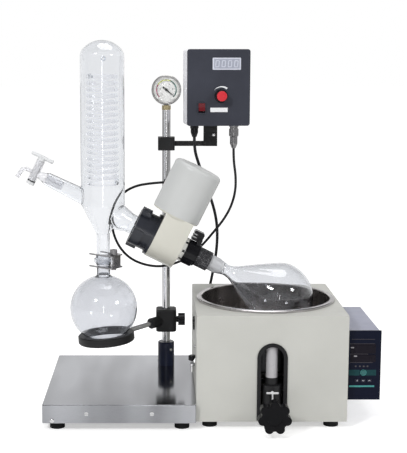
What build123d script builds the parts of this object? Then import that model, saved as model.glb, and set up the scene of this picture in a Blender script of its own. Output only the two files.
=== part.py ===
"""Rotary evaporator with a lifting water bath, in millimetres.

Frame: +Z up, the front faces -Y, and the origin lies under the middle of the object on the table.
The tilted head is drawn in its own frame: Z runs down the drive axis to the flask and X points up.
"""
from build123d import *
import os
from math import atan, atan2, cos, degrees, pi, radians, sin, sqrt, tan

# Clearances
SEAT = 0.3
RUN = 0.3
SHEET = 1.5

# Water bath
BATH_LEFT = 2.0
BATH_H = 201.0
BATH_FOOT_H = 14.0
BATH_EDGE_R = 5.0
POT_R = 125.5
POT_Y = 16.5
POT_SIDE_ROOM = 5.5
POT_FRONT_ROOM = 18.5
POT_BACK_ROOM = 9.5
POT_WALL = 2.0
POT_FLOOR_Z = 86.0
POT_CORNER_R = 22.0
RIM_LIP = 9.0
RIM_H = 5.0
HEATER_INSET = 39.5
HEATER_H = 8.0
SLOT_W = 44.0
SLOT_TOP_Z = 157.5
SLOT_BOTTOM_Z = 20.0
TRIM_W = 6.0
TRIM_PROUD = 2.0
POST_R = 11.0
POST_BACK = 13.0
CARRIAGE_R = 19.0
CARRIAGE_BOTTOM_Z = 24.0
CARRIAGE_ARM_H = 8.0
CARRIAGE_ARM_W = 60.0
GUIDE_ROOM = 2.0
KNOB_R = 31.0
KNOB_Z = 40.0
KNOB_T = 20.0
KNOB_STAND_OFF = 42.0
KNOB_STEM_R = 6.0
KNOB_LOBES = 7
KNOB_TIP_GAP = 0.8

# Bath controller
PANEL_W = 62.0
PANEL_D = 200.0
PANEL_H = 130.0
PANEL_Z = 52.5
PANEL_BACK = 20.0
PANEL_SKIN = 4.0
PANEL_PROUD = 1.0
KEY_W = 8.0
KEY_H = 6.0
KEY_PITCH = 11.5
KEY_ROW_Z = 36.0
KEY_DEPTH = 3.0
KEY_PROUD = 1.4
POWER_KEY_R = 4.5
POWER_KEY_Z = 51.0

# Stand
STAND_GAP = 0.3
BASE_W = 285.0
BASE_D = 347.0
BASE_H = 35.0
BASE_FOOT_H = 15.0
BASE_EDGE_R = 4.0
FOOT_R = 14.0
FOOT_INSET = 26.0
COLUMN_R = 8.5
COLUMN_BORE_R = 6.0
COLUMN_FROM_RIGHT = 54.2
COLUMN_FROM_BACK = 70.0
HEAD_REACH = 114.5
COLUMN_TOP_Z = 580.0
SOCKET_R = 17.0
SOCKET_H = 49.5

# Vacuum gauge
GAUGE_R = 30.0
GAUGE_D = 27.0
GAUGE_Z = 620.0
GAUGE_BEZEL = 4.0
GAUGE_BODY_R = 28.8
GAUGE_STEM_R = 5.0
GAUGE_FLAT = 0.6
DIAL_T = 1.5
DIAL_BACK = 6.0
LENS_T = 1.5
NEEDLE_T = 0.8
NEEDLE_ANGLE = -39.0
FITTING_R = 9.0
BARB_R = 4.0
BARB_BORE_R = 2.2

# Speed controller
CASE_W = 123.0
CASE_D = 85.0
CASE_H = 148.0
CASE_BOTTOM_Z = 552.0
CASE_X = 45.5
CASE_BACK_Y = 133.0
CASE_TURN = 4.0
CASE_WALL = 2.5
CASE_EDGE_R = 5.0
FACE_T = 3.0
WINDOW_X = 15.5
WINDOW_Z = 120.0
WINDOW_W = 56.0
WINDOW_H = 24.0
WINDOW_DEPTH = 1.0
DIAL_KNOB_R = 13.0
DIAL_KNOB_D = 15.0
DIAL_KNOB_X = 4.5
DIAL_KNOB_H = 58.0
DIAL_SHAFT_R = 3.0
SWITCH_W = 12.5
SWITCH_H = 18.0
SWITCH_X = -33.0
SWITCH_Z = 35.0
SWITCH_TILT = 7.0
GLAND_X = -42.5
GLAND_R = 8.5
GLAND_H = 24.0
CONNECTOR_X = 36.5
CONNECTOR_R = 9.5
CONNECTOR_H = 47.0
ARM_Z = 512.0
ARM_T = 10.0
ARM_CLAMP_W = 34.0
ARM_CLAMP_H = 26.5
ARM_REACH = 103.0
BRACKET_W = 28.0
BRACKET_T = 3.0

# Drive head
TILT = 26.4
DRIVE_FROM_POT = -2.5
HEAD_Z = 330.0
HOUSING_R = 43.5
HOUSING_BORE_R = 38.0
HOUSING_LEFT = -27.0
HOUSING_RIGHT = 30.0
HOUSING_WALL = 4.0
WELL_R = 22.0
PIVOT_BOSS_L = 4.0
HOUSING_TOP = 56.0
NOSE_R = 32.0
NOSE_LEFT = -55.0
MOTOR_T = -7.0
MOTOR_COVER_R = 48.0
MOTOR_COVER_H = 101.0
MOTOR_COVER_WALL = 2.5
MOTOR_COVER_EDGE_R = 9.0
MOTOR_R = 31.0
MOTOR_H = 74.0
CABLE_ENTRY_H = 62.0
SHAFT_R = 5.0
SPINDLE_R = 17.0
SPINDLE_BORE_R = 13.0
SPINDLE_LEFT = -48.0
SPINDLE_RIGHT = 62.0
BEARING_R = 26.0
BEARING_W = 9.0
SEAL_T = 3.0
SEAL_PLUG = 6.0
CAP_R = 24.0
CAP_W = 9.0
CAP_SLOTS = 8
CAP_SLOT_W = 5.0
CAP_SLOT_DEPTH = 3.5
CAP_FLANGE_T = 2.5
NUT_R = 36.5
NUT_LUG_R = 42.0
NUT_LEFT = -69.5
NUT_LUGS = 4
NUT_LUG_W = 30.4
NUT_LUG_L = 20.0
NUT_FLANGE_W = 6.0
FLASK_NUT_R = 24.0
FLASK_NUT_RIBS = 12
LATCH_W = 22.0
LATCH_TOP = 46.0
LATCH_PIN_R = 2.0
CLIP_R = 19.5
CLIP_LEFT = 66.0
CLIP_RIGHT = 93.0
HEAD_PIVOT_R = 17.0
HEAD_CLAMP_W = 44.0
LUG_W = 24.0
LUG_H = 18.0
LUG_REACH = 10.0

# Bevel pair
MODULE = 2.0
WHEEL_TEETH = 30
PINION_TEETH = 15
FACE_WIDTH = 10.0
ADDENDUM = 0.8
DEDENDUM = 1.15
TOOTH_SHARE = 0.42
PRESSURE_ANGLE = 22.0

# Glass
GLASS = 2.0
VAPOUR_R = 12.0
VAPOUR_BORE_R = 9.5
VAPOUR_LEFT = -62.0
VAPOUR_RIGHT = 106.0
FLASK_MOUTH = 72.0
FLASK_NECK_R = 15.5
FLASK_NECK_END = 108.0
FLASK_WAIST_R = 11.5
FLASK_WAIST = 130.0
FLASK_R = 66.0
FLASK_WIDEST = 243.0
FLASK_END_LENGTH = 73.0
FLASK_SIDE_ARC_R = 75.0
CONDENSER_X = -176.0
CONDENSER_R = 42.5
CONDENSER_TOP_Z = 717.0
DOME_H = 31.0
DOME_KNUCKLE_R = 20.0
CONDENSER_CONE_Z = 402.0
CONE_H = 58.0
DRIP_NECK_R = 13.2
SIDE_ARM_R = 19.0
SIDE_ARM_ROOT_R = 25.0
SIDE_ARM_WALL = 3.0
ARM_FLANGE_R = 29.0
ARM_FLANGE_T = 6.5
FEED_ARM_R = 12.5
FEED_ARM_RISE = 6.0
FEED_ARM_END = -262.0
COIL_R = 27.0
COIL_TUBE_R = 4.0
COIL_TURNS = 18
COIL_PITCH = 12.0
COIL_BOTTOM_Z = 444.0
PORT_L = 24.0
PORT_TOP_Z = 682.0
BALL_R = 15.5
BALL_Z = 295.0
BALL_DEPTH = 10.0
CUP_WALL = 2.5
CUP_DEPTH = 13.0
CUP_TAPER = 8.0
RECEIVER_R = 66.0
RECEIVER_Z = 195.8
RECEIVER_NECK_R = 13.0
STOPCOCK_T = -287.0
STOPCOCK_R = 8.2
STOPCOCK_BOTTOM = -9.0
STOPCOCK_TOP = 32.0
PLUG_R = 5.5
HANDLE_L = 46.0
HANDLE_R = 4.0
OUTLET_R = 4.0
OUTLET_REACH = 25.0
OUTLET_DROP = 22.0

# Receiver clip and support ring
FORK_T = 2.0
FORK_W = 38.0
FORK_REACH = 24.0
FORK_BACK = 36.0
CLIP_TURN = -40.0
SCREW_R = 3.0
SCREW_HEAD_R = 7.0
SCREW_HEAD_H = 10.0
RING_R = 55.5
RING_BORE_R = 42.5
RING_H = 16.0
RING_TILT = 4.5
RING_ROD_R = 5.0
BOSS_W = 42.0
BOSS_H = 46.0
BOSS_NOSE_R = 11.0
BOSS_NOSE_REACH = 44.0
RING_KNOB_R = 13.0
RING_KNOB_T = 14.0
RING_KNOB_LOBES = 6

# Cords
MOTOR_CABLE_R = 2.5
POWER_CORD_R = 3.0
COIL_ACROSS = 68.0
COIL_WIDE = 3
COIL_HIGH = 2
CORD_COIL_X = 175.0
CORD_COIL_BACK = 64.5
PLUG_L = 46.0
PLUG_W = 26.0
PLUG_H = 20.0
PIN_L = 17.0
BOOT_L = 20.0
MOTOR_CABLE_ROUTE = [
    (81.9, 93.05, 505), (81.9, 93.05, 481), (87, 92.5, 449), (86.5, 93.5, 417), (78, 95.5, 386),
    (63, 97.5, 359), (44, 99.5, 335), (22, 101, 308), (-2, 101.5, 286), (-30, 101, 270),
    (-65, 100, 262), (-99, 99, 267), (-128, 97, 281), (-149, 95, 305), (-161, 93, 335),
    (-163.5, 91, 367), (-155, 90, 396), (-137, 91, 418), (-112, 94, 430), (-82, 98, 434),
    (-52, 100, 436), (-25, 97, 438), (-6.3, 83, 438.8), (-6.3, 58, 438.8)]

# Places that follow from the sizes above
RIM_R = POT_R + RIM_LIP
HEATER_R = POT_R - HEATER_INSET
BATH_W = 2 * (RIM_R + POT_SIDE_ROOM)
BATH_D = 2 * RIM_R + POT_FRONT_ROOM + POT_BACK_ROOM
BATH_RIGHT = BATH_LEFT + BATH_W
BATH_X = BATH_LEFT + BATH_W / 2
BATH_FRONT_Y = POT_Y - RIM_R - POT_FRONT_ROOM
BATH_BACK_Y = BATH_FRONT_Y + BATH_D
CORD_COIL_Y = BATH_BACK_Y + CORD_COIL_BACK
POWER_CORD_TOP = [(3.1, 87.53, 528), (3.1, 87.53, 505), (10, 94, 480), (21, 107, 450), (32, 120, 418)]
POWER_CORD_FALL = [
    (43, -29.5, 387), (51, -20.5, 355), (54, -11.5, 322), (53, -2.5, 289), (49, 5.5, 256), (43, 12, 222),
    (36, 16.5, 186), (31, 19.5, 150), (29, 21.5, 114), (32, 24.5, 80), (40, 28.5, 50), (54, 32.5, 25),
    (74, 34.5, 9), (98, 33.5, 3), (124, 31.3, 3), (150, 30.5, 3)]
POWER_CORD_ROUTE = POWER_CORD_TOP + [(x, BATH_BACK_Y + y, z) for x, y, z in POWER_CORD_FALL]
BATH_TOP_Z = BATH_FOOT_H + BATH_H
POT_OUT_R = POT_R + POT_WALL
POT_BOTTOM_Z = POT_FLOOR_Z - POT_WALL
POST_Y = BATH_FRONT_Y + POST_BACK
KNOB_FRONT_Y = BATH_FRONT_Y - KNOB_STAND_OFF - KNOB_T
BASE_RIGHT = BATH_LEFT - STAND_GAP
BASE_LEFT = BASE_RIGHT - BASE_W
BASE_TOP_Z = BASE_FOOT_H + BASE_H
COLUMN_X = BASE_RIGHT - COLUMN_FROM_RIGHT
DRIVE_Y = POT_Y + DRIVE_FROM_POT
COLUMN_Y = DRIVE_Y + HEAD_REACH
BASE_BACK_Y = COLUMN_Y + COLUMN_FROM_BACK
BASE_FRONT_Y = BASE_BACK_Y - BASE_D
GAUGE_FRONT_Y = COLUMN_Y - GAUGE_D / 2
GAUGE_FLAT_Z = GAUGE_Z - GAUGE_BODY_R + GAUGE_FLAT
AXIS_DOWN = (cos(radians(TILT)), 0, -sin(radians(TILT)))
AXIS_UP = (sin(radians(TILT)), 0, cos(radians(TILT)))
DRIVE = Plane(origin=(COLUMN_X, DRIVE_Y, HEAD_Z), x_dir=AXIS_UP, z_dir=AXIS_DOWN).location
CASE = Pos(CASE_X, CASE_BACK_Y - CASE_D / 2, CASE_BOTTOM_Z) * Rot(0, 0, CASE_TURN)
ARM_MEETS = (CONDENSER_X - COLUMN_X) / cos(radians(TILT))
PANEL_FRONT_Y = BATH_FRONT_Y + PANEL_BACK
COIL_OUT_R = COIL_ACROSS / 2 + POWER_CORD_R * COIL_WIDE
WHEEL_CONE = atan(WHEEL_TEETH / PINION_TEETH)
PINION_CONE = pi / 2 - WHEEL_CONE
MOTOR = DRIVE * Plane(origin=(0, 0, MOTOR_T), x_dir=(0, 0, 1), z_dir=(1, 0, 0)).location
KNOB_FRONT_TO_POST = POST_Y - POST_R - KNOB_TIP_GAP - KNOB_FRONT_Y
CLIP_AT = Pos(CONDENSER_X, DRIVE_Y, 0) * Rot(0, 0, CLIP_TURN)
UPPER_FORK_Z = BALL_Z + sqrt(BALL_R ** 2 - DRIP_NECK_R ** 2) + SEAT
LOWER_FORK_Z = BALL_Z - CUP_DEPTH - SEAT - FORK_T
RING = Pos(CONDENSER_X, DRIVE_Y, RECEIVER_Z) * Rot(0, -RING_TILT, 0)
RING_TOP = -sqrt((RECEIVER_R + SEAT) ** 2 - RING_BORE_R ** 2)
RING_MID = RING_TOP - RING_H / 2
ROD_RUN_X = (COLUMN_X - CONDENSER_X) / cos(radians(RING_TILT)) + RING_MID * tan(radians(RING_TILT))
ROD_RUN_Y = COLUMN_Y - DRIVE_Y
ROD_LENGTH = sqrt(ROD_RUN_X ** 2 + ROD_RUN_Y ** 2)
ROD = RING * Plane(origin=(0, 0, RING_MID), z_dir=(ROD_RUN_X, ROD_RUN_Y, 0)).location
BOSS_Z = (ROD * Pos(0, 0, ROD_LENGTH)).position.Z


def box(x0, x1, y0, y1, z0, z1):
    """A block between two corners."""
    return Pos((x0 + x1) / 2, (y0 + y1) / 2, (z0 + z1) / 2) * Box(x1 - x0, y1 - y0, z1 - z0)


def rod(radius, z0, z1):
    """A cylinder on the Z axis."""
    return Pos(0, 0, (z0 + z1) / 2) * Cylinder(radius, z1 - z0)


def tube(outer, inner, z0, z1):
    """A pipe on the Z axis."""
    return rod(outer, z0, z1) - rod(inner, z0, z1)


def turned(*points):
    """A solid of revolution about Z from an outline of (radius, height) points."""
    return revolve(Plane.XZ * make_face(Polyline(*points, close=True)), axis=Axis.Z)


def turned_curve(*edges):
    """A solid of revolution about Z from edges that close an outline drawn as (radius, height)."""
    return revolve(Plane.XZ * make_face(Curve() + list(edges)), axis=Axis.Z)


def cap_arcs(radius, spring, height, first_r):
    """Two tangent arcs, drawn as (radius, height), from an upright side at the spring line to the axis."""
    last_r = ((radius - first_r) ** 2 + height ** 2 - first_r ** 2) / (2 * (height - first_r))
    first_centre = Vector(radius - first_r, spring)
    last_centre = Vector(0, spring + height - last_r)
    between = first_centre - last_centre if last_r > first_r else last_centre - first_centre
    turn = degrees(atan2(between.Y, between.X))
    return CenterArc(first_centre, first_r, 0, turn), CenterArc(last_centre, last_r, turn, 90 - turn)


def around(count, shape):
    """Copies of a shape spaced evenly about Z."""
    return [Rot(0, 0, 360 / count * i) * shape for i in range(count)]


def along_y(x, z, shape, y=0):
    """Turn a shape drawn on the Z axis so that its Z runs from the front to the back."""
    return Pos(x, y, z) * Rot(-90, 0, 0) * shape


def star_face(radius, lobes):
    """A hand knob's outline: round lobes about a disc, with soft hollows between them."""
    lobe = radius * sin(pi / lobes) * 0.62
    face = Circle(radius * 0.78) + around(lobes, Pos(radius - lobe, 0) * Circle(lobe))
    return fillet(face.vertices(), lobe * 0.35)


def hose_barb(length):
    """A hose nipple on the Z axis, with two ridges, before its bore is cut."""
    ridge = BARB_R + 1.0
    step = length / 3
    return turned((0, 0), (BARB_R, 0), (BARB_R, step), (ridge, step), (BARB_R, 2 * step), (ridge, 2 * step),
                  (BARB_R, length), (0, length))


def cord_tube(points, radius):
    """A round cord along straight runs joined by tangent arcs as large as the runs allow."""
    spots = [Vector(*p) for p in points]
    runs = [b - a for a, b in zip(spots, spots[1:])]
    radii = []
    for before, after in zip(runs, runs[1:]):
        half_turn = radians(before.get_angle(after)) / 2
        radii.append(0.45 * min(before.length, after.length) / tan(half_turn))
    path = FilletPolyline(*spots, radius=radii)
    return sweep(Plane(origin=spots[0], z_dir=runs[0]) * Circle(radius), path=path)


# Stand

def base_plate():
    """A folded tray, open underneath, with a hole for the column's stud."""
    outer = box(BASE_LEFT, BASE_RIGHT, BASE_FRONT_Y, BASE_BACK_Y, BASE_FOOT_H, BASE_TOP_Z)
    outer = fillet(outer.edges().filter_by(Axis.Z), BASE_EDGE_R)
    outer = fillet(outer.faces().sort_by(Axis.Z)[-1].edges(), SHEET)
    inner = box(BASE_LEFT + SHEET, BASE_RIGHT - SHEET, BASE_FRONT_Y + SHEET, BASE_BACK_Y - SHEET,
                BASE_FOOT_H - 1, BASE_TOP_Z - SHEET)
    return outer - inner


def foot(x, y, top):
    """A rubber foot that widens to the table."""
    return Pos(x, y, 0) * turned((0, 0), (FOOT_R, 0), (FOOT_R, 4), (FOOT_R - 3, top), (0, top))


def rubber_feet():
    """Four feet under the tray, on stems to its plate, and four under the bath."""
    feet = []
    for x in (BASE_LEFT + FOOT_INSET, BASE_RIGHT - FOOT_INSET):
        for y in (BASE_FRONT_Y + FOOT_INSET, BASE_BACK_Y - FOOT_INSET):
            feet.append(foot(x, y, BASE_TOP_Z - SHEET))
    for x in (BATH_LEFT + FOOT_INSET, BATH_RIGHT - FOOT_INSET):
        for y in (BATH_FRONT_Y + FOOT_INSET, BATH_BACK_Y - FOOT_INSET):
            feet.append(foot(x, y, BATH_FOOT_H))
    return Compound(children=feet)


def column_socket():
    """The sleeve that holds the column, with a chamfered top."""
    sleeve = turned((COLUMN_R, 0), (SOCKET_R, 0), (SOCKET_R, SOCKET_H - 1.5), (SOCKET_R - 1.5, SOCKET_H),
                    (COLUMN_R, SOCKET_H))
    return Pos(COLUMN_X, COLUMN_Y, BASE_TOP_Z) * sleeve


def column():
    """The column tube."""
    return Pos(COLUMN_X, COLUMN_Y, 0) * tube(COLUMN_R, COLUMN_BORE_R, BASE_TOP_Z, COLUMN_TOP_Z)


# Vacuum gauge

def gauge_fitting():
    """The brass adaptor on the column's top, with a hexagon and a hose barb to the rear."""
    plug = rod(COLUMN_BORE_R, COLUMN_TOP_Z - 14, COLUMN_TOP_Z)
    hexagon = Pos(0, 0, COLUMN_TOP_Z) * extrude(RegularPolygon(FITTING_R, 6), 9)
    stem = rod(GAUGE_STEM_R, COLUMN_TOP_Z + 9, GAUGE_FLAT_Z)
    barb = Pos(0, FITTING_R * 0.8, COLUMN_TOP_Z + 4.5) * Rot(-90, 0, 0) * hose_barb(PORT_L)
    return Pos(COLUMN_X, COLUMN_Y, 0) * (plug + hexagon + stem + barb)


def gauge_case():
    """The round case with a rolled bezel and an open front."""
    inner = GAUGE_R - GAUGE_BEZEL
    case = turned((0, DIAL_BACK), (inner, DIAL_BACK), (inner, 0), (GAUGE_R - 1.5, 0), (GAUGE_R, 1.5),
                  (GAUGE_R, 6), (GAUGE_BODY_R, 7), (GAUGE_BODY_R, GAUGE_D - 2), (GAUGE_R - 3.2, GAUGE_D),
                  (0, GAUGE_D))
    flat = box(COLUMN_X - 7, COLUMN_X + 7, COLUMN_Y - 7, COLUMN_Y + 7, GAUGE_FLAT_Z - 5, GAUGE_FLAT_Z)
    return along_y(COLUMN_X, GAUGE_Z, case, GAUGE_FRONT_Y) - flat


def gauge_dial():
    """The dial plate at the bottom of the case's front."""
    disc = rod(GAUGE_R - GAUGE_BEZEL - 0.2, DIAL_BACK - DIAL_T, DIAL_BACK) - rod(1.0, 0, DIAL_BACK)
    return along_y(COLUMN_X, GAUGE_Z, disc, GAUGE_FRONT_Y)


def gauge_lens():
    """The flat window in the bezel."""
    disc = rod(GAUGE_R - GAUGE_BEZEL - 0.1, 0.6, 0.6 + LENS_T)
    return along_y(COLUMN_X, GAUGE_Z, disc, GAUGE_FRONT_Y)


def gauge_needle():
    """The pointer with its tail and arbor, drawn along +X and turned to the rest reading."""
    reach = GAUGE_R - GAUGE_BEZEL - 5
    blade = Polyline((reach, 0), (0, 1.6), (-9, 1.2), (-9, -1.2), (0, -1.6), close=True)
    pointer = extrude(make_face(blade), NEEDLE_T) + Cylinder(2.6, NEEDLE_T * 2)
    arbor = Pos(0, 0, -1.2) * Cylinder(0.8, 2.4)
    middle = (COLUMN_X, GAUGE_FRONT_Y + DIAL_BACK - DIAL_T - 1.2, GAUGE_Z)
    return Pos(*middle) * Rot(90, 0, 0) * Rot(0, 0, NEEDLE_ANGLE) * (pointer + arbor)


# Speed controller

def controller_arm():
    """The clamp on the column, the arm and the angle bracket that carries the case."""
    clamp = Pos(COLUMN_X, COLUMN_Y, ARM_Z) * Box(ARM_CLAMP_W, ARM_CLAMP_W, ARM_CLAMP_H)
    clamp = fillet(clamp.edges().filter_by(Axis.Z), 4)
    split = box(COLUMN_X - 1, COLUMN_X + 1, COLUMN_Y, COLUMN_Y + ARM_CLAMP_W, ARM_Z - ARM_CLAMP_H,
                ARM_Z + ARM_CLAMP_H)
    arm_end = COLUMN_X + ARM_REACH
    arm = Pos((COLUMN_X + arm_end) / 2, COLUMN_Y, ARM_Z) * Box(ARM_REACH, ARM_T, ARM_T)
    bore = Pos(COLUMN_X, COLUMN_Y, 0) * rod(COLUMN_R, ARM_Z - ARM_CLAMP_H, ARM_Z + ARM_CLAMP_H)
    plate_back = COLUMN_Y - ARM_T / 2
    bracket = box(arm_end - BRACKET_W, arm_end, plate_back - BRACKET_T, plate_back, ARM_Z - ARM_T / 2,
                  CASE_BOTTOM_Z)
    shelf = box(arm_end - BRACKET_W, arm_end, plate_back - BRACKET_W, plate_back, CASE_BOTTOM_Z - BRACKET_T,
                CASE_BOTTOM_Z)
    return (clamp + arm + bracket + shelf) - bore - split


def controller_case():
    """The case, open at the front where the panel closes it, with holes for the gland and connector."""
    outer = Pos(0, 0, CASE_H / 2) * Box(CASE_W, CASE_D, CASE_H)
    outer = fillet(outer.edges().filter_by(Axis.Y), CASE_EDGE_R)
    outer = fillet(outer.faces().sort_by(Axis.Y)[-1].edges(), 2)
    inner = Pos(0, -CASE_WALL, CASE_H / 2) * Box(CASE_W - 2 * CASE_WALL, CASE_D, CASE_H - 2 * CASE_WALL)
    holes = Pos(GLAND_X, 0, 0) * rod(GLAND_R - 2, -1, CASE_WALL + 1)
    holes += Pos(CONNECTOR_X, 0, 0) * rod(CONNECTOR_R - 2, -1, CASE_WALL + 1)
    return CASE * (outer - inner - holes)


def controller_panel():
    """The front panel with a shallow display window, the knob's shaft bush and the switch opening."""
    front = -CASE_D / 2
    plate = Pos(0, front - FACE_T / 2, CASE_H / 2) * Box(CASE_W, FACE_T, CASE_H)
    plate = fillet(plate.edges().filter_by(Axis.Y), CASE_EDGE_R)
    window = Pos(WINDOW_X, front - FACE_T, WINDOW_Z) * Box(WINDOW_W, 2 * WINDOW_DEPTH, WINDOW_H)
    opening = Box(SWITCH_W + 2 * RUN, FACE_T * 2, SWITCH_H + 2 * RUN)
    opening = Pos(SWITCH_X, front - FACE_T / 2, SWITCH_Z) * opening
    frame = Pos(SWITCH_X, front - FACE_T - 0.75, SWITCH_Z) * Box(SWITCH_W + 5, 1.5, SWITCH_H + 5)
    hole = along_y(DIAL_KNOB_X, DIAL_KNOB_H, rod(DIAL_SHAFT_R + RUN, -FACE_T - 1, 1), front)
    cheeks = [Pos(SWITCH_X + side * (SWITCH_W / 2 + RUN + 1), front + 5, SWITCH_Z) * Box(2, 10, 8)
              for side in (-1, 1)]
    pivot_holes = Pos(SWITCH_X, front + 6, SWITCH_Z) * Rot(0, 90, 0) * Cylinder(1.5 + 0.15, SWITCH_W + 8)
    return CASE * ((plate + frame + cheeks) - window - opening - hole - pivot_holes)


def speed_knob():
    """A fluted knob with a raised cap, on a short shaft through the panel."""
    skirt = turned((0, 0), (DIAL_KNOB_R, 0), (DIAL_KNOB_R, 2.5), (DIAL_KNOB_R - 1.5, 3.5),
                   (DIAL_KNOB_R - 2.5, DIAL_KNOB_D), (0, DIAL_KNOB_D))
    flutes = around(12, Pos(DIAL_KNOB_R - 0.6, 0, (DIAL_KNOB_D + 4.5) / 2) * Cylinder(1.4, DIAL_KNOB_D - 4.5))
    cap = rod(DIAL_KNOB_R - 5, DIAL_KNOB_D, DIAL_KNOB_D + 1.2)
    shaft = rod(DIAL_SHAFT_R, -FACE_T - 6, 0)
    knob = (skirt - flutes) + cap + shaft
    front = -CASE_D / 2 - FACE_T - RUN
    return CASE * Pos(DIAL_KNOB_X, front, DIAL_KNOB_H) * Rot(90, 0, 0) * knob


def power_switch():
    """A rocker with a dished face that stands tilted to its off side, on a pivot pin."""
    front = -CASE_D / 2
    face_y = front - FACE_T - 4.5
    outline = make_face(Polyline((face_y, -SWITCH_H / 2 + 1.6), (face_y + 2, 0), (face_y, SWITCH_H / 2 - 1.6),
                                 (front + 3, SWITCH_H / 2 - 2.2), (front + 8, 3), (front + 8, -3),
                                 (front + 3, -SWITCH_H / 2 + 2.2), close=True))
    rocker = extrude(Plane.YZ * outline, SWITCH_W / 2, both=True)
    pin = Pos(0, front + 6, 0) * Rot(0, 90, 0) * Cylinder(1.5, SWITCH_W + 2 * RUN + 4)
    tilt = Pos(0, front + 6, 0) * Rot(-SWITCH_TILT, 0, 0) * Pos(0, -front - 6, 0)
    return CASE * Pos(SWITCH_X, 0, SWITCH_Z) * tilt * (rocker + pin)


def cable_gland():
    """A cord gland under the case: a hexagon, a clamping dome and an inner nut."""
    body = extrude(RegularPolygon(GLAND_R, 6), -7)
    dome = turned((0, -7), (GLAND_R - 1, -7), (GLAND_R - 1, -15), (POWER_CORD_R + 1.5, -GLAND_H),
                  (0, -GLAND_H))
    thread = rod(GLAND_R - 2.1, 0, CASE_WALL + 8)
    return CASE * Pos(GLAND_X, 0, 0) * (body + dome + thread)


def motor_connector():
    """A round multi-pin connector under the case: socket flange, coupling ring and cable grip."""
    shell = turned((0, 0), (CONNECTOR_R, 0), (CONNECTOR_R, -4), (CONNECTOR_R - 1.5, -4),
                   (CONNECTOR_R - 1.5, -8), (CONNECTOR_R, -8), (CONNECTOR_R, -22),
                   (CONNECTOR_R - 2, -24), (CONNECTOR_R - 2, -38),
                   (MOTOR_CABLE_R + 1.5, -CONNECTOR_H), (0, -CONNECTOR_H))
    thread = rod(CONNECTOR_R - 2.1, 0, CASE_WALL + 6)
    return CASE * Pos(CONNECTOR_X, 0, 0) * (shell + thread)


# Drive head, drawn on the drive axis

def head_bracket():
    """The split clamp on the column with the pivot that carries the gear housing."""
    block = Pos(COLUMN_X, COLUMN_Y, HEAD_Z) * Box(HEAD_CLAMP_W, HEAD_CLAMP_W, HEAD_CLAMP_W)
    block = fillet(block.edges().filter_by(Axis.Z), 5)
    boss_y = DRIVE_Y + HOUSING_R + PIVOT_BOSS_L
    pivot = along_y(COLUMN_X, HEAD_Z, rod(HEAD_PIVOT_R, 0, COLUMN_Y - boss_y - COLUMN_R), boss_y)
    bore = Pos(COLUMN_X, COLUMN_Y, 0) * rod(COLUMN_R, HEAD_Z - HEAD_CLAMP_W, HEAD_Z + HEAD_CLAMP_W)
    split = box(COLUMN_X - 1, COLUMN_X + 1, COLUMN_Y, COLUMN_Y + HEAD_CLAMP_W, HEAD_Z - HEAD_CLAMP_W,
                HEAD_Z + HEAD_CLAMP_W)
    lugs = box(COLUMN_X - LUG_W / 2, COLUMN_X + LUG_W / 2, COLUMN_Y, COLUMN_Y + HEAD_CLAMP_W / 2 + LUG_REACH,
               HEAD_Z - LUG_H / 2, HEAD_Z + LUG_H / 2)
    return (block + lugs + pivot) - bore - split


def gear_housing():
    """The cast housing: a barrel on the drive axis, a square shoulder under the motor, and a nose."""
    length = HOUSING_RIGHT - HOUSING_LEFT
    middle = (HOUSING_RIGHT + HOUSING_LEFT) / 2
    barrel = rod(HOUSING_R, HOUSING_LEFT, HOUSING_RIGHT)
    shoulder = Pos(HOUSING_TOP / 2, 0, middle) * Box(HOUSING_TOP, 2 * HOUSING_R, length)
    body = barrel + shoulder
    flange = Pos(HOUSING_TOP - 3, 0, MOTOR_T) * Rot(0, 90, 0) * rod(MOTOR_COVER_R - 1, 0, 3)
    nose = rod(NOSE_R, NOSE_LEFT, HOUSING_LEFT)
    boss = Pos(0, -HOUSING_R - PIVOT_BOSS_L, 0) * Rot(-90, 0, 0) * rod(HEAD_PIVOT_R + 5, 0, HOUSING_R / 2)
    cavity = rod(HOUSING_BORE_R, HOUSING_LEFT + HOUSING_WALL, HOUSING_RIGHT - HOUSING_WALL - BEARING_W)
    well = Pos(0, 0, MOTOR_T) * Rot(0, 90, 0) * rod(WELL_R, 0, HOUSING_TOP + 1)
    seats = rod(BEARING_R, NOSE_LEFT - 1, NOSE_LEFT + SEAL_PLUG + BEARING_W)
    seats += rod(BEARING_R, HOUSING_RIGHT - BEARING_W, HOUSING_RIGHT + 1)
    through = rod(SPINDLE_R + 2, NOSE_LEFT - 1, HOUSING_RIGHT + 1)
    return DRIVE * ((body + flange + nose + boss) - cavity - well - seats - through)


def motor_cover():
    """The round cover over the motor, a thin shell with a soft top edge, open below."""
    top = MOTOR_COVER_H
    edge = MOTOR_COVER_EDGE_R
    wall = MOTOR_COVER_WALL
    outer = fillet(rod(MOTOR_COVER_R, 0, top).faces().sort_by(Axis.Z)[-1].edges(), edge)
    inner = fillet(rod(MOTOR_COVER_R - wall, -1, top - wall).faces().sort_by(Axis.Z)[-1].edges(), edge - wall)
    entry = Pos(0, MOTOR_COVER_R, CABLE_ENTRY_H) * Rot(90, 0, 0) * Cylinder(MOTOR_CABLE_R + 0.2, 4 * wall)
    return MOTOR * Pos(0, 0, HOUSING_TOP) * (outer - inner - entry)


def drive_motor():
    """The geared motor: gearbox flange, body and end bell, with a socket for its shaft."""
    body = turned((0, 0), (MOTOR_R, 0), (MOTOR_R, 14), (MOTOR_R - 4, 16), (MOTOR_R - 4, MOTOR_H - 6),
                  (MOTOR_R - 10, MOTOR_H), (0, MOTOR_H))
    socket = rod(SHAFT_R + RUN, -1, 16)
    return MOTOR * Pos(0, 0, HOUSING_TOP) * (body - socket)


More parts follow.
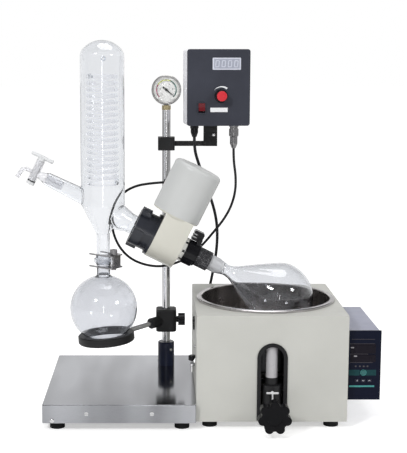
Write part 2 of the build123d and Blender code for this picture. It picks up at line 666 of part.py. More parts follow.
def bevel_teeth(count, cone_angle):
    """Straight bevel teeth about Z with the cone's apex at the origin, and their root line.

    Each tooth is a trapezium at the large end, drawn down towards the apex over the face width.
    """
    cone = MODULE * WHEEL_TEETH / 2 / sin(WHEEL_CONE)
    shrink = (cone - FACE_WIDTH) / cone
    out = Vector(sin(cone_angle), 0, cos(cone_angle))
    rise = Vector(cos(cone_angle), 0, -sin(cone_angle))
    half = pi * MODULE * TOOTH_SHARE / 2
    lean = tan(radians(PRESSURE_ANGLE))
    low = DEDENDUM * MODULE + 0.4
    high = ADDENDUM * MODULE
    section = []
    for height, side in ((-low, -1), (-low, 1), (high, 1), (high, -1)):
        width = half - height * lean
        section.append(out * cone + rise * height + Vector(0, side * width, 0))
    large = make_face(Polyline(*section, close=True))
    small = make_face(Polyline(*[p * shrink for p in section], close=True))
    root = out * cone - rise * (DEDENDUM * MODULE)
    return around(count, loft([small, large], ruled=True)), root * shrink, root


def bevel_wheel():
    """The wheel on the spindle, with a gap between teeth at the top where the pinion's tooth lies."""
    teeth, inner, outer = bevel_teeth(WHEEL_TEETH, WHEEL_CONE)
    back = outer.Z + 6
    blank = turned((SPINDLE_R, inner.Z), (inner.X, inner.Z), (outer.X, outer.Z), (outer.X, back),
                   (SPINDLE_R, back))
    gear = Rot(0, 0, 180 / WHEEL_TEETH) * (blank + teeth)
    return DRIVE * Pos(0, 0, MOTOR_T) * gear


def bevel_pinion():
    """The pinion on the motor's output shaft."""
    teeth, inner, outer = bevel_teeth(PINION_TEETH, PINION_CONE)
    hub = outer.Z + 5
    blank = turned((0, inner.Z), (inner.X, inner.Z), (outer.X, outer.Z), (outer.X, hub), (SHAFT_R, hub),
                   (SHAFT_R, HOUSING_TOP + 14), (0, HOUSING_TOP + 14))
    return MOTOR * (blank + teeth)


def spindle():
    """The hollow spindle with a shoulder behind the right bearing."""
    shoulder = rod(SPINDLE_R + 1.5, HOUSING_RIGHT - BEARING_W - 3, HOUSING_RIGHT - BEARING_W - RUN)
    body = rod(SPINDLE_R, SPINDLE_LEFT, SPINDLE_RIGHT) + shoulder
    return DRIVE * (body - rod(SPINDLE_BORE_R, SPINDLE_LEFT - 1, SPINDLE_RIGHT + 1))


def spindle_bearings():
    """Two sealed ball bearings, each with a groove for its shields."""
    rings = []
    for start in (NOSE_LEFT + SEAL_PLUG, HOUSING_RIGHT - BEARING_W):
        bore = SPINDLE_R + 0.15
        ring = tube(BEARING_R, bore, start, start + BEARING_W)
        groove = tube(BEARING_R - 2.5, bore + 2.5, start + BEARING_W - 0.6, start + BEARING_W + 1)
        rings.append(DRIVE * (ring - groove))
    return Compound(children=rings)


def shaft_seal():
    """The lip seal between the condenser's flange and the vapour tube."""
    left = NOSE_LEFT - SEAL_T
    seal = turned((VAPOUR_R + RUN, left), (ARM_FLANGE_R, left), (ARM_FLANGE_R, NOSE_LEFT),
                  (BEARING_R, NOSE_LEFT),
                  (BEARING_R, NOSE_LEFT + SEAL_PLUG), (BEARING_R - 4, NOSE_LEFT + SEAL_PLUG),
                  (VAPOUR_R + 3, NOSE_LEFT), (VAPOUR_R + RUN, NOSE_LEFT))
    return DRIVE * seal


def bearing_cap():
    """The slotted retaining ring that closes the housing on the flask's side."""
    ring = tube(CAP_R, SPINDLE_R + 1, HOUSING_RIGHT, HOUSING_RIGHT + CAP_W)
    flange = tube(CAP_R + 6, SPINDLE_R + 1, HOUSING_RIGHT, HOUSING_RIGHT + CAP_FLANGE_T)
    slot_z = HOUSING_RIGHT + CAP_W / 2 + CAP_FLANGE_T
    slot = Pos(CAP_R, 0, slot_z) * Box(CAP_SLOT_DEPTH * 2, CAP_SLOT_W, CAP_W - CAP_FLANGE_T)
    return DRIVE * (ring + flange - around(CAP_SLOTS, slot))


def condenser_nut():
    """The union nut on the housing's nose, with a flange, grip lugs and a lip behind the glass flange."""
    right = HOUSING_LEFT - RUN
    flange_left = right - NUT_FLANGE_W
    lug_right = NUT_LEFT + NUT_LUG_L
    bore = NOSE_R + RUN
    lip = NUT_LEFT + 4.5
    body = turned((SIDE_ARM_R + 5, NUT_LEFT), (NUT_R, NUT_LEFT), (NUT_R, flange_left),
                  (NUT_LUG_R, flange_left), (NUT_LUG_R, right), (bore, right), (bore, lip),
                  (SIDE_ARM_R + 5, lip))
    wedge = make_face(Polyline((0, 0), (2 * NUT_R, -NUT_LUG_W), (2 * NUT_R, NUT_LUG_W), close=True))
    lug = tube(NUT_LUG_R, NUT_R - 1, NUT_LEFT, lug_right) & (Pos(0, 0, NUT_LEFT) * extrude(wedge, NUT_LUG_L))
    return DRIVE * (body + [Rot(0, 0, 22.5) * part for part in around(NUT_LUGS, lug)])


def flask_nut():
    """The ribbed nut at the spindle's end, with two ears for the latch's pin."""
    left = HOUSING_RIGHT + CAP_W + 1
    ring = tube(FLASK_NUT_R, SPINDLE_R, left, SPINDLE_RIGHT)
    rib = Pos(FLASK_NUT_R, 0, (left + SPINDLE_RIGHT) / 2) * Box(2.4, 4, SPINDLE_RIGHT - left)
    ribs = [r for r in around(FLASK_NUT_RIBS, rib)][1:]
    end = tube(FLASK_NUT_R - 2, VAPOUR_R + 0.2, SPINDLE_RIGHT, CLIP_LEFT)
    ear = box(FLASK_NUT_R - 3, FLASK_NUT_R + 9, LATCH_W / 2 + RUN, LATCH_W / 2 + RUN + 3, SPINDLE_RIGHT - 8,
              SPINDLE_RIGHT)
    ears = ear + mirror(ear, about=Plane.XZ)
    pin = Rot(90, 0, 0) * Cylinder(LATCH_PIN_R, LATCH_W + 2 * RUN + 6)
    pin = Pos(FLASK_NUT_R + 5, 0, SPINDLE_RIGHT - 4) * pin
    return DRIVE * (ring + ribs + end + ears + pin)


def flask_latch():
    """The ribbed thumb latch that swings on the flask nut's pin."""
    left = HOUSING_RIGHT + CAP_W + 1.5
    right = SPINDLE_RIGHT - 0.5
    foot_n = FLASK_NUT_R + 2
    block = box(foot_n, LATCH_TOP, -LATCH_W / 2, LATCH_W / 2, left, right)
    block = fillet(block.edges().filter_by(Axis.Y).sort_by(Axis.X)[-2:], 4)
    grooves = [box(n, n + 2.5, -LATCH_W, LATCH_W, left - 1, left + 9) for n in (31, 37)]
    hole = Rot(90, 0, 0) * Cylinder(LATCH_PIN_R + 0.15, LATCH_W * 2)
    hole = Pos(FLASK_NUT_R + 5, 0, SPINDLE_RIGHT - 4) * hole
    return DRIVE * (block - grooves - hole)


def joint_clip():
    """The knurled clip that holds the flask's neck to the spindle."""
    bore = FLASK_NECK_R + 1.8
    ring = tube(CLIP_R, bore, CLIP_LEFT + 5, CLIP_RIGHT)
    end = tube(CLIP_R, VAPOUR_R + 0.2, CLIP_LEFT, CLIP_LEFT + 5)
    lip = tube(CLIP_R, FLASK_NECK_R + 0.2, CLIP_RIGHT - 3, CLIP_RIGHT)
    notch = Pos(CLIP_R, 0, (CLIP_LEFT + CLIP_RIGHT) / 2) * Box(1.6, 2.2, CLIP_RIGHT - CLIP_LEFT - 6)
    return DRIVE * (ring + end + lip - around(20, notch))


# Glass

def vapour_tube():
    """The glass tube through the spindle, ending in a ground cone inside the flask's neck."""
    tip = VAPOUR_R - 1.6
    body = turned((VAPOUR_BORE_R, VAPOUR_LEFT), (VAPOUR_R, VAPOUR_LEFT), (VAPOUR_R, FLASK_MOUTH),
                  (tip, VAPOUR_RIGHT), (VAPOUR_BORE_R, VAPOUR_RIGHT))
    return DRIVE * body


def pear_outline(inset):
    """The pear flask's outline from its waist to its end, moved inwards by a wall."""
    waist = FLASK_WAIST_R - inset
    widest = FLASK_R - inset
    shoulder = Spline((waist, FLASK_WAIST), (24.5 - inset, 160), (51.5 - inset, 205), (widest, FLASK_WIDEST),
                      tangents=((0, 1), (0, 1)))
    side, tip = cap_arcs(widest, FLASK_WIDEST, FLASK_END_LENGTH - inset, FLASK_SIDE_ARC_R - inset)
    return (shoulder, side, tip), FLASK_WIDEST + FLASK_END_LENGTH - inset


def evaporating_flask():
    """The pear-shaped flask with a beaded mouth and a ground neck on the vapour tube's cone."""
    curves, bottom = pear_outline(0)
    bead = FLASK_NECK_R + 1.5
    outer = turned_curve(Polyline((0, bottom), (0, FLASK_MOUTH), (bead, FLASK_MOUTH), (bead, FLASK_MOUTH + 4),
                                  (FLASK_NECK_R, FLASK_MOUTH + 5), (FLASK_NECK_R, FLASK_NECK_END),
                                  (FLASK_WAIST_R, FLASK_WAIST)), *curves)
    curves, bottom = pear_outline(GLASS)
    cone = VAPOUR_R + 0.15
    inner = turned_curve(Polyline((0, bottom), (0, FLASK_MOUTH - 1), (cone, FLASK_MOUTH - 1),
                                  (cone, FLASK_MOUTH), (cone - 1.6, VAPOUR_RIGHT),
                                  (FLASK_WAIST_R - GLASS, FLASK_WAIST)), *curves)
    return DRIVE * (outer - inner)


def condenser_body(inset):
    """The condenser's outline of revolution, moved inwards by a wall: dome, barrel, cone and drip neck."""
    radius = CONDENSER_R - inset
    neck = DRIP_NECK_R - inset
    top = CONDENSER_TOP_Z - inset
    spring = CONDENSER_TOP_Z - DOME_H
    floor = BALL_Z
    dome = cap_arcs(radius, spring, top - spring, DOME_KNUCKLE_R - inset)
    sides = Polyline((0, top), (0, floor), (neck, floor), (neck, CONDENSER_CONE_Z - CONE_H),
                     (radius, CONDENSER_CONE_Z), (radius, spring))
    return Pos(CONDENSER_X, DRIVE_Y, 0) * turned_curve(sides, *dome)


def condenser_arms(inset):
    """The side arm to the drive head and the feed arm on the other side, moved inwards by a wall."""
    flare = ARM_MEETS + CONDENSER_R - 6
    root = SIDE_ARM_ROOT_R - inset
    end = NOSE_LEFT - SEAL_T
    side = turned((0, ARM_MEETS), (root, ARM_MEETS), (root, flare), (SIDE_ARM_R - inset, flare + 22),
                  (SIDE_ARM_R - inset, end + inset), (0, end + inset))
    feed = Pos(FEED_ARM_RISE, 0, 0) * turned((0, ARM_MEETS), (FEED_ARM_R + 3 - inset, ARM_MEETS),
                                             (FEED_ARM_R + 3 - inset, ARM_MEETS - CONDENSER_R),
                                             (FEED_ARM_R - inset, FEED_ARM_END - inset),
                                             (0, FEED_ARM_END - inset))
    return DRIVE * (side + feed)


def rear_ports(bore):
    """The coolant and vacuum nipples at the rear, or their bores."""
    coil_top = COIL_BOTTOM_Z + COIL_PITCH * (COIL_TURNS - 1)
    ends = ((COIL_R, COIL_BOTTOM_Z), (-COIL_R, coil_top), (0, PORT_TOP_Z))
    ports = []
    for x, z in ends:
        wall_y = sqrt(CONDENSER_R ** 2 - x ** 2)
        if bore:
            shape = rod(BARB_BORE_R, -8, PORT_L + 1)
        else:
            shape = rod(BARB_R, -GLASS / 2, 1) + hose_barb(PORT_L)
        ports.append(along_y(CONDENSER_X + x, z, shape, DRIVE_Y + wall_y))
    return ports


def condenser_jacket():
    """The blown condenser: shell, side arm with its flange, feed arm, ball joint and rear nipples."""
    flange_right = NOSE_LEFT - SEAL_T
    flange = DRIVE * tube(ARM_FLANGE_R, SIDE_ARM_R - 1, flange_right - ARM_FLANGE_T, flange_right)
    ball = Pos(CONDENSER_X, DRIVE_Y, BALL_Z) * (Sphere(BALL_R) - rod(2 * BALL_R, -2 * BALL_R, -BALL_DEPTH))
    outer = condenser_body(0) + condenser_arms(0) + flange + ball + rear_ports(False)
    inner = condenser_body(GLASS) + condenser_arms(SIDE_ARM_WALL)
    drip = Pos(CONDENSER_X, DRIVE_Y, 0) * rod(DRIP_NECK_R - GLASS, BALL_Z - 20, CONDENSER_CONE_Z - CONE_H)
    return outer - inner - drip - rear_ports(True)


def condenser_coil():
    """The cooling coil: level half turns at the front, rising ones at the back, and tails to the rear."""
    wall_y = sqrt((CONDENSER_R - GLASS) ** 2 - (COIL_R + COIL_TUBE_R) ** 2) - SEAT
    half_turns = []
    z = COIL_BOTTOM_Z
    tail = Line((COIL_R, wall_y, z), (COIL_R, 0, z))
    for turn in range(COIL_TURNS):
        half_turns.append(ThreePointArc((COIL_R, 0, z), (0, -COIL_R, z), (-COIL_R, 0, z)))
        if turn < COIL_TURNS - 1:
            rise = sqrt(COIL_R ** 2 + (COIL_PITCH / 2) ** 2)
            half_turns.append(ThreePointArc((-COIL_R, 0, z), (0, rise, z + COIL_PITCH / 2),
                                            (COIL_R, 0, z + COIL_PITCH)))
            z += COIL_PITCH
    head = Line((-COIL_R, 0, z), (-COIL_R, wall_y, z))
    path = Wire([tail, *half_turns, head])
    section = Plane(origin=(COIL_R, wall_y, COIL_BOTTOM_Z), z_dir=(0, -1, 0)) * Circle(COIL_TUBE_R)
    return Pos(CONDENSER_X, DRIVE_Y, 0) * sweep(section, path=path)


def stopcock_body():
    """The stopcock: a cone in the feed arm, a cross barrel and a bent outlet tube."""
    cone_r = FEED_ARM_R - SIDE_ARM_WALL - 0.15
    cone = turned((0, FEED_ARM_END + 34), (cone_r - 1.2, FEED_ARM_END + 34), (cone_r, FEED_ARM_END),
                  (FEED_ARM_R - 1, FEED_ARM_END - 1), (FEED_ARM_R - 4, FEED_ARM_END - 10),
                  (OUTLET_R + 1, STOPCOCK_T), (0, STOPCOCK_T))
    cone = Pos(FEED_ARM_RISE, 0, 0) * cone
    barrel = Pos(0, 0, STOPCOCK_T) * Rot(0, 90, 0) * rod(STOPCOCK_R, STOPCOCK_BOTTOM, STOPCOCK_TOP)
    bend = FilletPolyline((FEED_ARM_RISE, 0, STOPCOCK_T), (FEED_ARM_RISE, 0, STOPCOCK_T - OUTLET_REACH),
                          (FEED_ARM_RISE - OUTLET_DROP, 0, STOPCOCK_T - OUTLET_REACH - 3), radius=9)
    start = Plane(origin=(FEED_ARM_RISE, 0, STOPCOCK_T), z_dir=(0, 0, -1))
    outlet = sweep(start * Circle(OUTLET_R), path=bend)
    outlet_bore = sweep(start * Circle(OUTLET_R - 1.6), path=bend)
    bore = Pos(0, 0, STOPCOCK_T) * Rot(0, 90, 0) * rod(PLUG_R, STOPCOCK_BOTTOM - 1, STOPCOCK_TOP + 1)
    channel = Pos(FEED_ARM_RISE, 0, 0) * rod(2.0, STOPCOCK_T, FEED_ARM_END + 35)
    return DRIVE * ((cone + barrel + outlet) - bore - outlet_bore - channel)


def stopcock_plug():
    """The turning plug with a T-handle above and a sealing ring and retaining nut below."""
    key = rod(PLUG_R - 0.1, STOPCOCK_BOTTOM - 9, STOPCOCK_TOP + 4)
    bar = Pos(0, 0, STOPCOCK_TOP + 4 + HANDLE_R) * Rot(0, 90, 0) * Cylinder(HANDLE_R, HANDLE_L)
    bar = fillet(bar.edges(), HANDLE_R * 0.6)
    shoulder = rod(STOPCOCK_R - 1, STOPCOCK_TOP + RUN, STOPCOCK_TOP + 6)
    ring = rod(STOPCOCK_R - 0.7, STOPCOCK_BOTTOM - 2.5, STOPCOCK_BOTTOM - RUN)
    nut = Pos(0, 0, STOPCOCK_BOTTOM - 9) * extrude(RegularPolygon(STOPCOCK_R, 8), 6)
    way = Pos(0, 0, FEED_ARM_RISE) * Rot(0, 90, 0) * Cylinder(2.0, 4 * PLUG_R)
    plug = key + bar + shoulder + ring + nut - way
    return DRIVE * Pos(0, 0, STOPCOCK_T) * Rot(0, 90, 0) * plug


def receiving_flask():
    """The round receiving flask with a cup that takes the condenser's ball."""
    cup_r = BALL_R + RUN
    cup_out = cup_r + CUP_WALL
    cup_low = BALL_Z - CUP_DEPTH
    neck = RECEIVER_NECK_R
    bulb = Pos(0, 0, RECEIVER_Z) * Sphere(RECEIVER_R)
    stem = turned((0, RECEIVER_Z), (neck, RECEIVER_Z), (neck, cup_low), (cup_out, cup_low + CUP_TAPER),
                  (cup_out, BALL_Z), (0, BALL_Z))
    outer = bulb + stem
    outer = fillet(outer.edges().filter_by(GeomType.CIRCLE).filter_by(
        lambda e: RECEIVER_Z + 40 < e.center().Z < RECEIVER_Z + RECEIVER_R and abs(e.radius - neck) < 0.1), 6)
    inner = Pos(0, 0, RECEIVER_Z) * Sphere(RECEIVER_R - GLASS) + rod(neck - GLASS, RECEIVER_Z, BALL_Z)
    seat = Pos(0, 0, BALL_Z) * Sphere(cup_r)
    return Pos(CONDENSER_X, DRIVE_Y, 0) * (outer - inner - seat)


# Receiver clip and support ring


def fork(z, neck_r):
    """A flat fork about a neck, open towards -X, with a tail to the clip's spine."""
    plate = box(-FORK_REACH, FORK_BACK, -FORK_W / 2, FORK_W / 2, z, z + FORK_T)
    plate = fillet(plate.edges().filter_by(Axis.Z), 6)
    slot = rod(neck_r + SEAT, z - 1, z + FORK_T + 1)
    slot += box(-FORK_REACH - 1, 0, -neck_r - SEAT, neck_r + SEAT, z - 1, z + FORK_T + 1)
    return plate - slot


def receiver_clip():
    """Two forks joined by a folded spine, with a hole for the screw."""
    spine = box(FORK_BACK - FORK_T, FORK_BACK, -10, 10, LOWER_FORK_Z, UPPER_FORK_Z + FORK_T)
    screw_hole = Pos(FORK_BACK - 9, 0, 0) * rod(SCREW_R + 0.2, LOWER_FORK_Z - 5, UPPER_FORK_Z + 8)
    forks = fork(UPPER_FORK_Z, DRIP_NECK_R) + fork(LOWER_FORK_Z, RECEIVER_NECK_R)
    return CLIP_AT * (forks + spine - screw_hole)


def clip_screw():
    """The knurled thumb screw that draws the forks together."""
    top = UPPER_FORK_Z + FORK_T + RUN
    flute = Pos(SCREW_HEAD_R, 0, top + SCREW_HEAD_H / 2) * Box(1.2, 1.4, SCREW_HEAD_H + 1)
    head = rod(SCREW_HEAD_R, top, top + SCREW_HEAD_H) - around(12, flute)
    shank = rod(SCREW_R, LOWER_FORK_Z - 4, top)
    nut = rod(SCREW_HEAD_R - 2, LOWER_FORK_Z - 4, LOWER_FORK_Z - RUN)
    return CLIP_AT * Pos(FORK_BACK - 9, 0, 0) * (head + shank + nut)


def support_ring():
    """The padded ring under the receiving flask with its rod."""
    ring = turned((RING_BORE_R, RING_TOP), (RING_R - 2, RING_TOP), (RING_R, RING_TOP - 2),
                  (RING_R, RING_TOP - RING_H + 2), (RING_R - 2, RING_TOP - RING_H),
                  (RING_BORE_R, RING_TOP - RING_H))
    return RING * ring + ROD * rod(RING_ROD_R, RING_R - 3, ROD_LENGTH - COLUMN_R - 4)


def ring_clamp():
    """The boss on the column, with a nose for the ring's rod and a bush for the clamp screw."""
    z = BOSS_Z
    block = Pos(COLUMN_X, COLUMN_Y, z) * Box(BOSS_W, BOSS_W, BOSS_H)
    block = fillet(block.edges().filter_by(Axis.Z), 8)
    block = fillet(block.edges().filter_by(GeomType.LINE).filter_by(Axis.X), 3)
    nose = ROD * rod(BOSS_NOSE_R, ROD_LENGTH - BOSS_NOSE_REACH, ROD_LENGTH - COLUMN_R - 2)
    bore = Pos(COLUMN_X, COLUMN_Y, z) * rod(COLUMN_R + 0.2, -BOSS_H, BOSS_H)
    rod_bore = ROD * rod(RING_ROD_R, 0, ROD_LENGTH - COLUMN_R - 4)
    screw_bore = Pos(COLUMN_X, COLUMN_Y, z) * Rot(0, 90, 0) * rod(SCREW_R + 0.2, 0, BOSS_W)
    return (block + nose) - bore - rod_bore - screw_bore


def ring_knob():
    """The star knob of the boss clamp, with its screw."""
    start = BOSS_W / 2 + 4
    star = Pos(0, 0, start) * extrude(star_face(RING_KNOB_R, RING_KNOB_LOBES), RING_KNOB_T)
    stem = rod(RING_KNOB_R * 0.5, BOSS_W / 2 + RUN, start)
    screw = rod(SCREW_R, COLUMN_R + 0.8, BOSS_W / 2 + RUN)
    return Pos(COLUMN_X, COLUMN_Y, BOSS_Z) * Rot(0, 90, 0) * (star + stem + screw)


# Water bath

def bath_front():
    """The front panel with the lift slot."""
    panel = box(BATH_LEFT, BATH_RIGHT, BATH_FRONT_Y, BATH_FRONT_Y + SHEET, BATH_FOOT_H, BATH_TOP_Z - SHEET)
    return panel - slot_cut(SLOT_W / 2, SLOT_BOTTOM_Z)


def slot_cut(half, bottom):
    """The slot's outline through the panel: straight sides with a round top."""
    crown = SLOT_TOP_Z - SLOT_W / 2
    flat = box(BATH_X - half, BATH_X + half, BATH_FRONT_Y - 5, BATH_FRONT_Y + 5, bottom, crown)
    return flat + along_y(BATH_X, crown, rod(half, -5, 5), BATH_FRONT_Y)


def slot_trim():
    """The rubber edging on the front of the slot."""
    band = slot_cut(SLOT_W / 2 + TRIM_W, SLOT_BOTTOM_Z - TRIM_W / 2) - slot_cut(SLOT_W / 2 - 1, SLOT_BOTTOM_Z)
    keep = box(BATH_LEFT, BATH_RIGHT, BATH_FRONT_Y - TRIM_PROUD, BATH_FRONT_Y, 0, BATH_TOP_Z)
    return band & keep


def bath_body():
    """The folded body: floor, sides and back, with rounded rear corners."""
    front = BATH_FRONT_Y + SHEET
    outer = box(BATH_LEFT, BATH_RIGHT, front, BATH_BACK_Y, BATH_FOOT_H, BATH_TOP_Z - SHEET)
    outer = fillet(outer.edges().filter_by(Axis.Z).sort_by(Axis.Y)[-2:], BATH_EDGE_R)
    inner = box(BATH_LEFT + SHEET, BATH_RIGHT - SHEET, front - 1, BATH_BACK_Y - SHEET, BATH_FOOT_H + SHEET,
                BATH_TOP_Z)
    return outer - inner


def bath_top():
    """The top plate with the pot's hole."""
    plate = box(BATH_LEFT, BATH_RIGHT, BATH_FRONT_Y, BATH_BACK_Y, BATH_TOP_Z - SHEET, BATH_TOP_Z)
    plate = fillet(plate.edges().filter_by(Axis.Z), BATH_EDGE_R)
    return plate - Pos(BATH_X, POT_Y, BATH_TOP_Z) * Cylinder(POT_OUT_R + 1, 10)


def bath_pot():
    """The deep-drawn pot with a rounded bottom and a rolled rim."""
    low = POT_BOTTOM_Z
    rim = BATH_TOP_Z + RIM_H
    corner = POT_CORNER_R
    outer_arc = CenterArc((POT_OUT_R - corner, low + corner), corner, -90, 90)
    inner_r = corner - POT_WALL
    inner_arc = CenterArc((POT_R - inner_r, POT_FLOOR_Z + inner_r), inner_r, -90, 90)
    rim_low = BATH_TOP_Z + SEAT
    outside = Polyline((0, low), (POT_OUT_R - corner, low))
    rise = Polyline((POT_OUT_R, low + corner), (POT_OUT_R, rim_low), (RIM_R, rim_low), (RIM_R, rim - 1.5),
                    (RIM_R - 2, rim), (POT_R + 1, rim), (POT_R, rim - 1.5),
                    (POT_R, POT_FLOOR_Z + corner - POT_WALL))
    inside = Polyline((POT_R - corner + POT_WALL, POT_FLOOR_Z), (0, POT_FLOOR_Z), (0, low))
    return Pos(BATH_X, POT_Y, 0) * turned_curve(outside, outer_arc, rise, inner_arc, inside)


def heater():
    """The ring element clamped under the pot's bottom."""
    top = POT_BOTTOM_Z
    return Pos(BATH_X, POT_Y, 0) * tube(HEATER_R, HEATER_R - 36, top - HEATER_H, top)


def lift_post():
    """The fixed post behind the slot, from the floor to the top plate."""
    return Pos(BATH_X, POST_Y, 0) * rod(POST_R, BATH_FOOT_H + SHEET, BATH_TOP_Z - SHEET)


def lift_carriage():
    """The sleeve that slides on the post, with the arm and disc that carry the pot."""
    top = POT_BOTTOM_Z - SEAT
    arm_top = POT_BOTTOM_Z - HEATER_H
    arm_low = arm_top - CARRIAGE_ARM_H
    sleeve = Pos(BATH_X, POST_Y, 0) * rod(CARRIAGE_R, CARRIAGE_BOTTOM_Z, top)
    arm = box(BATH_X - CARRIAGE_ARM_W / 2, BATH_X + CARRIAGE_ARM_W / 2, POST_Y, POT_Y, arm_low, arm_top)
    arm = arm - box(BATH_X - CARRIAGE_ARM_W, BATH_X + CARRIAGE_ARM_W, POST_Y - 1, POST_Y + 2, arm_low - 1,
                    arm_top + 1)
    disc = Pos(BATH_X, POT_Y, 0) * rod(HEATER_R, arm_low, arm_top)
    bore = Pos(BATH_X, POST_Y, 0) * rod(POST_R + 0.2, CARRIAGE_BOTTOM_Z - 1, top + 1)
    tap = along_y(BATH_X, KNOB_Z, rod(KNOB_STEM_R + 0.2, -CARRIAGE_R - 1, 0), POST_Y)
    wall_y = BATH_FRONT_Y + SHEET + GUIDE_ROOM / 2
    guide_w = SLOT_W / 2 - GUIDE_ROOM
    slot_room = box(BATH_LEFT, BATH_RIGHT, BATH_FRONT_Y - CARRIAGE_R, wall_y, 0, BATH_TOP_Z)
    guide = box(BATH_X - guide_w, BATH_X + guide_w, BATH_FRONT_Y - CARRIAGE_R, wall_y, 0, BATH_TOP_Z)
    return (sleeve - (slot_room - guide)) + arm + disc - bore - tap


def lift_knob():
    """The lobed hand knob in front of the slot, with its screw into the carriage."""
    disc = extrude(star_face(KNOB_R, KNOB_LOBES), KNOB_T)
    disc = chamfer(disc.faces().sort_by(Axis.Z)[0].edges(), 1.5)
    dish = Pos(0, 0, -1) * Cylinder(KNOB_R * 0.45, 4)
    hub = rod(KNOB_R * 0.5, KNOB_T, KNOB_T + 12)
    screw = rod(KNOB_STEM_R, KNOB_T, KNOB_FRONT_TO_POST)
    return along_y(BATH_X, KNOB_Z, Rot(0, 0, -90) * (disc - dish + hub + screw), KNOB_FRONT_Y)


# Bath controller

def bath_controller():
    """The control box on the bath's side with a proud front moulding, key holes and a rear mains inlet."""
    left = BATH_RIGHT
    right = left + PANEL_W
    back = PANEL_FRONT_Y + PANEL_D
    case = box(left, right, PANEL_FRONT_Y, back, PANEL_Z, PANEL_Z + PANEL_H)
    case = fillet(case.edges().filter_by(Axis.Y).sort_by(Axis.X)[-2:], 3)
    front = box(left, right + PANEL_PROUD, PANEL_FRONT_Y - PANEL_SKIN, PANEL_FRONT_Y, PANEL_Z - PANEL_PROUD,
                PANEL_Z + PANEL_H + PANEL_PROUD)
    cuts = [key_place(i) * Box(KEY_W + 2 * RUN, 2 * KEY_DEPTH + 2, KEY_H + 2 * RUN) for i in range(3)]
    cuts.append(power_key_place() * Rot(90, 0, 0) * Cylinder(POWER_KEY_R + RUN, 2 * KEY_DEPTH + 2))
    inlet = Pos(left + PANEL_W / 2, back, PANEL_Z + 35) * Box(28, 24, 20)
    pins = [Pos(left + PANEL_W / 2 + dx, back - 6, PANEL_Z + 35 + dz) * Box(2, 12, 4)
            for dx, dz in ((-7, -2), (0, 2), (7, -2))]
    return case + front - cuts - inlet + pins


def key_place(index):
    """The place of one of the three square keys, on the panel's face."""
    middle = BATH_RIGHT + PANEL_W / 2
    return Pos(middle + (index - 1) * KEY_PITCH, PANEL_FRONT_Y - PANEL_SKIN, PANEL_Z + KEY_ROW_Z)


def power_key_place():
    """The place of the round key, on the panel's face."""
    return Pos(BATH_RIGHT + PANEL_W / 2, PANEL_FRONT_Y - PANEL_SKIN, PANEL_Z + POWER_KEY_Z)


def square_key(index):
    """A square key with soft corners, proud of the panel."""
    length = KEY_PROUD + KEY_DEPTH - 0.4
    key = Box(KEY_W, length, KEY_H)
    key = fillet(key.edges().filter_by(Axis.Y), 1)
    return key_place(index) * Pos(0, length / 2 - KEY_PROUD, 0) * key


def power_key():
    """The round key above the others."""
    length = KEY_PROUD + KEY_DEPTH - 0.4
    key = Rot(90, 0, 0) * Cylinder(POWER_KEY_R, length)
    return power_key_place() * Pos(0, length / 2 - KEY_PROUD, 0) * key


# Cords

def motor_cable():
    """The cable from the connector, in a loop behind the head, to the motor cover's back."""
    return cord_tube(MOTOR_CABLE_ROUTE, MOTOR_CABLE_R)


def power_cord():
    """The mains cord from the gland down behind the bath to its coil."""
    return cord_tube(POWER_CORD_ROUTE, POWER_CORD_R)


def power_cord_coil():
    """The outer shape of the coiled rest of the mains cord."""
    ring = tube(COIL_OUT_R, COIL_ACROSS - COIL_OUT_R, 0, 2 * POWER_CORD_R * COIL_HIGH)
    return Pos(CORD_COIL_X, CORD_COIL_Y, 0) * ring


def power_plug():
    """A moulded three-pin plug lying beside the coil."""
    body = Pos(0, 0, PLUG_H / 2) * Box(PLUG_L, PLUG_W, PLUG_H)
    body = fillet(body.edges().filter_by(Axis.X), 6)
    pins = [Pos(PLUG_L / 2 + PIN_L / 2, dy, PLUG_H / 2 + dz) * Box(PIN_L, 1.6, 6.3)
            for dy, dz in ((-6, -2), (6, -2), (0, 4))]
    boot = turned((0, 0), (7, 0), (POWER_CORD_R + 1.2, BOOT_L), (0, BOOT_L))
    boot = Pos(-PLUG_L / 2, 0, PLUG_H / 2) * Rot(0, -90, 0) * boot
    side = (COIL_ACROSS / 2) * 0.98
    plug_x = CORD_COIL_X - sqrt(COIL_OUT_R ** 2 - side ** 2) - PLUG_L / 2 - BOOT_L
    return Pos(plug_x, CORD_COIL_Y + side, 0) * Rot(0, 0, 180) * (body + pins + boot)


MAKERS = [
    base_plate, rubber_feet, column_socket, column, gauge_fitting, gauge_case, gauge_dial, gauge_lens,
    gauge_needle, controller_arm, controller_case, controller_panel, speed_knob, power_switch,
    cable_gland, motor_connector, head_bracket, gear_housing, motor_cover, drive_motor, bevel_pinion,
    bevel_wheel, spindle, spindle_bearings, shaft_seal, bearing_cap, condenser_nut, flask_nut,
    flask_latch, joint_clip, vapour_tube, evaporating_flask, condenser_jacket, condenser_coil,
    stopcock_body, stopcock_plug, receiving_flask, receiver_clip, clip_screw, ring_clamp, support_ring,
    ring_knob, bath_front, bath_body, bath_top, bath_pot, heater, slot_trim, lift_post, lift_carriage,
    lift_knob, bath_controller, power_key, motor_cable, power_cord, power_cord_coil, power_plug]

PIECES = {maker.__name__: maker() for maker in MAKERS}
for index, key_name in enumerate(("set_key", "down_key", "up_key")):
    PIECES[key_name] = square_key(index)

os.makedirs("parts", exist_ok=True)
for name, piece in PIECES.items():
    export_step(piece, f"parts/{name}.step")
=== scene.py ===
from math import asin, cos, pi, radians, sin

